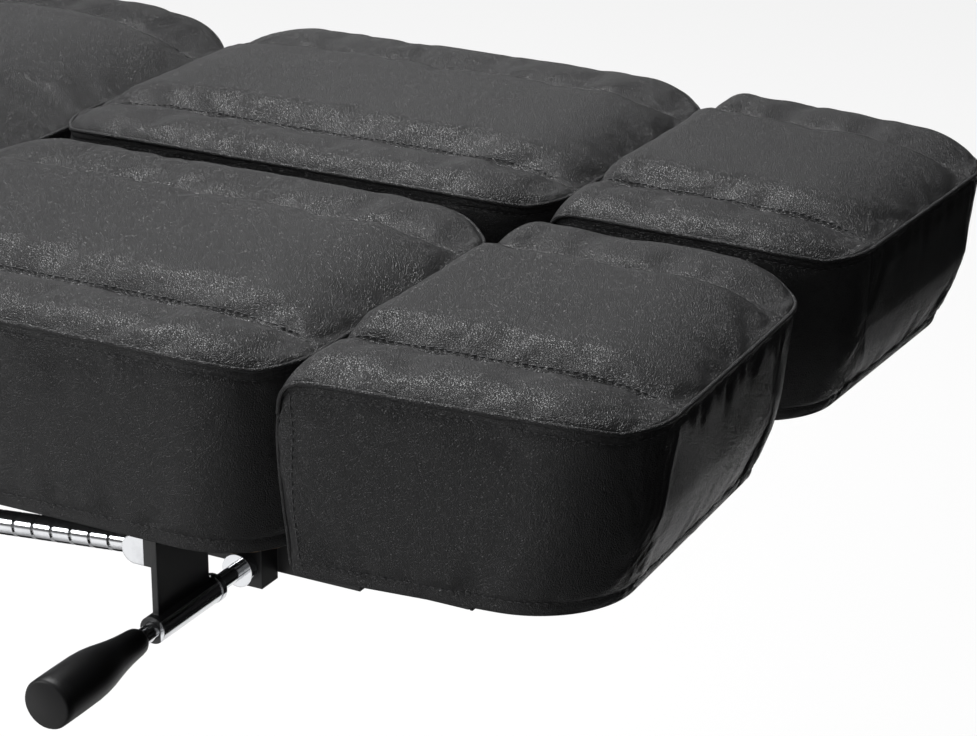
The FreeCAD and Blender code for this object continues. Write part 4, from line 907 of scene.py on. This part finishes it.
# Foot boards: plywood cut to the foot cushion's drawn-in toe, with sanded edges.
# Each is stapled to the cover's hem and screwed down on the slide's cross straps.
board_sanding = 0.0008
board_clear = 0.0003
board_steps = 30
for side in both_sides:
    pad = Pad(f"foot_cushion_{side}", **foot_form)
    steps = [math.sin(math.pi / 2 * k / board_steps) ** 2 for k in range(board_steps + 1)]
    a = np.array([*steps, *[1.0] * board_steps, *steps[-2::-1], *[0.0] * (board_steps - 1)])
    b = np.array([*[0.0] * (board_steps + 1), *steps[1:], *[1.0] * board_steps, *steps[-2:0:-1]])
    rings = [pad.board_ring(a, b, board_inset + board_clear + sunk, z)
             for sunk, z in ((board_sanding, pad.hem), (0.0, pad.hem + board_sanding),
                             (0.0, pad.board_top - board_sanding), (board_sanding, pad.board_top))]
    count = len(a)
    faces = [(k * count + i, k * count + (i + 1) % count, (k + 1) * count + (i + 1) % count, (k + 1) * count + i)
             for k in range(len(rings) - 1) for i in range(count)]
    faces += [tuple(range(count))[::-1], tuple(range((len(rings) - 1) * count, len(rings) * count))]
    wood = add_piece(f"foot_board_{side}_wood", np.vstack(rings), faces, plywood, f"foot_{side}", "plywood")
    wood.data.shade_flat()
    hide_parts(f"foot_board_{side}")


sharp_turn = 0.6


def solid(points, faces, bevel):
    """Points and faces of a hard piece after its edges are rounded."""
    rough = bmesh.new()
    made = [rough.verts.new(point) for point in points]
    for face in faces:
        rough.faces.new([made[k] for k in face])
    bmesh.ops.recalc_face_normals(rough, faces=rough.faces)
    sharp = [edge for edge in rough.edges if edge.calc_face_angle(0) > sharp_turn]
    bmesh.ops.bevel(rough, geom=sharp, offset=bevel, segments=2, affect="EDGES", profile=0.5)
    rough.verts.index_update()
    result = [vert.co.copy() for vert in rough.verts], [tuple(v.index for v in face.verts) for face in rough.faces]
    rough.free()
    return result


def joined(parts):
    """Several lists of points and faces as one."""
    points, faces = [], []
    for some, more in parts:
        faces += [tuple(k + len(points) for k in face) for face in more]
        points += some
    return points, faces


def squares(rows, middle, closed):
    """Points and faces of square rings: rows of (x, half width) run along a bar, and back inside it if closed."""
    points = [Vector((x, middle[0] + across * half, middle[1] + up * half)) for x, half in rows
              for across, up in ((-1, -1), (1, -1), (1, 1), (-1, 1))]
    faces = [(4 * k + i, 4 * k + (i + 1) % 4, (4 * k + 4 + (i + 1) % 4) % len(points), (4 * k + 4 + i) % len(points))
             for k in range(len(rows) if closed else len(rows) - 1) for i in range(4)]
    if not closed:
        faces += [(0, 1, 2, 3), tuple(range(len(points) - 4, len(points)))]
    return points, faces


# Foot slides: a square steel tube that runs in the leg frame's guide, with a plastic plug in its end.
# Two short pressed channels are welded on top and hold the foot board.
slide_half = 0.017
slide_wall = 0.003
slide_end = 0.66
slide_bevel = 0.0009
plug_lip = 0.002
plug_depth = 0.012
plug_bevel = 0.0005
strap_places = (0.623, 0.645)
strap_half = 0.058
strap_run = 0.009
strap_bevel = 0.0006
for side in both_sides:
    low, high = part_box(f"foot_slide_{side}")
    middle = ((low.y + high.y) / 2, low.z + slide_half)
    inside = slide_half - slide_wall
    rows = [(low.x, slide_half), (slide_end, slide_half), (slide_end, inside), (low.x, inside)]
    parts = [solid(*squares(rows, middle, True), slide_bevel)]
    top = low.z + 2 * slide_half
    for place in strap_places:
        profile = [(-strap_run, top), (-strap_run, high.z), (strap_run, high.z), (strap_run, top),
                   (strap_run - slide_wall, top), (strap_run - slide_wall, high.z - slide_wall),
                   (-strap_run + slide_wall, high.z - slide_wall), (-strap_run + slide_wall, top)]
        points = [Vector((place + x, middle[0] + end * strap_half, z)) for end in (-1, 1) for x, z in profile]
        count = len(profile)
        faces = [(i, (i + 1) % count, count + (i + 1) % count, count + i) for i in range(count)]
        faces += [tuple(range(count))[::-1], tuple(range(count, 2 * count))]
        parts.append(solid(points, faces, strap_bevel))
    slide = add_piece(f"foot_slide_{side}_tube", *joined(parts), powder_steel, f"foot_{side}", "black_steel")
    slide.data.shade_flat()
    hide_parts(f"foot_slide_{side}")
    rows = [(slide_end + plug_lip, inside), (slide_end + plug_lip, slide_half), (slide_end, slide_half),
            (slide_end, inside), (slide_end - plug_depth, inside)]
    plug = add_piece(f"foot_slide_{side}_plug", *solid(*squares(rows, middle, False), plug_bevel), black_plastic,
                     f"foot_{side}", "black_plastic")
    plug.data.shade_flat()

# Hangers: a bent steel plate bolted under each leg frame and coated black, with ears for the stay and a sleeve for
# the cross rod. All that lies behind the plate's back or in front of its face is chromed: the ears, the bolt heads
# and the front and back of the sleeve.
ear_front = 0.5155
bolt_back = 0.5292
plating_fade = 0.0003
hanger_steel, bench = finish("hanger_steel")
place = bench.node("ShaderNodeTexCoord", {}, {}, "Object")
x = bench.node("ShaderNodeSeparateXYZ", {}, {0: place}, "X")
ears = (-1 * x).between(-ear_front - plating_fade, -ear_front)
heads = x.between(bolt_back, bolt_back + plating_fade)
plated = x.maths("MAXIMUM", ears, heads)
marks = bench.node("ShaderNodeTexNoise", {}, {"Vector": place, "Scale": 60.0, "Detail": 6.0, "Roughness": 0.65})
peel = bench.node("ShaderNodeTexNoise", {}, {"Vector": place, "Scale": peel_scale, "Detail": 2.0})
rounded = bench.node("ShaderNodeBevel", {"samples": 4}, {"Radius": edge_round})
bump = bench.node("ShaderNodeBump", {}, {"Strength": 0.15, "Distance": 0.0002, "Height": peel * (1 - plated),
                                         "Normal": rounded})
skin = bench.node("ShaderNodeBsdfPrincipled", {}, {
    "Base Color": plated.blend(coat_black, marks.between(0.55, 0.85).blend(chrome_tint, chrome_dull)),
    "Metallic": plated, "Roughness": 0.36 + 0.1 * marks - 0.3 * plated, "Normal": bump})
bench.node("ShaderNodeOutputMaterial", {}, {"Surface": skin})
dress(["leg_hanger_near", "leg_hanger_far"], hanger_steel)

# Clamp grips: a turned handle pressed on the cross rod, thick at its outer end and tapering to a round neck.
# Its cap is a separate flat disc with a raised rim and a shallow ring.
grip_profile = ((0.0, 0.0128), (0.0005, 0.0137), (0.0016, 0.0143), (0.006, 0.0144), (0.02, 0.0144), (0.034, 0.01425),
                (0.041, 0.0138), (0.048, 0.0128), (0.055, 0.0114), (0.062, 0.0101), (0.069, 0.0091), (0.075, 0.0085),
                (0.08, 0.0081), (0.083, 0.0076), (0.0848, 0.0067), (0.0857, 0.0056), (0.086, 0.0052))
cap_profile = ((0.0012, 0.0066), (0.0015, 0.0069), (0.0015, 0.0075), (0.0012, 0.0078), (0.0012, 0.0102),
               (0.0009, 0.0108), (0.0002, 0.0112), (0.0, 0.0117), (0.0003, 0.0122), (0.0012, 0.0126),
               (0.0022, 0.0127))
turning_sides = 64
rod_x, rod_z = 0.524, 0.603


def turned(profile, end, inward):
    """A piece turned about the cross rod's line, from rows of (how far in from its end, radius)."""
    points, faces = [], []
    for along, radius in profile:
        points += [Vector((rod_x + radius * math.cos(angle), end + inward * along, rod_z + radius * math.sin(angle)))
                   for angle in (2 * math.pi * i / turning_sides for i in range(turning_sides))]
    for k in range(len(profile) - 1):
        low, high = k * turning_sides, (k + 1) * turning_sides
        faces += [(low + i, low + (i + 1) % turning_sides, high + (i + 1) % turning_sides, high + i)
                  for i in range(turning_sides)]
    faces += [tuple(range(turning_sides))[::-1], tuple(range(len(points) - turning_sides, len(points)))]
    return points, faces


for side, lean in near_and_far:
    low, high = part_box(f"clamp_grip_{side}")
    end = low.y if lean < 0 else high.y
    body = add_piece(f"clamp_grip_{side}_body", *turned(grip_profile, end, -lean), black_plastic, f"clamp_{side}",
                     "black_plastic")
    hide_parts(f"clamp_grip_{side}")
    add_piece(f"clamp_grip_{side}_cap", *turned(cap_profile, end, -lean), black_plastic, f"clamp_{side}",
              "black_plastic")
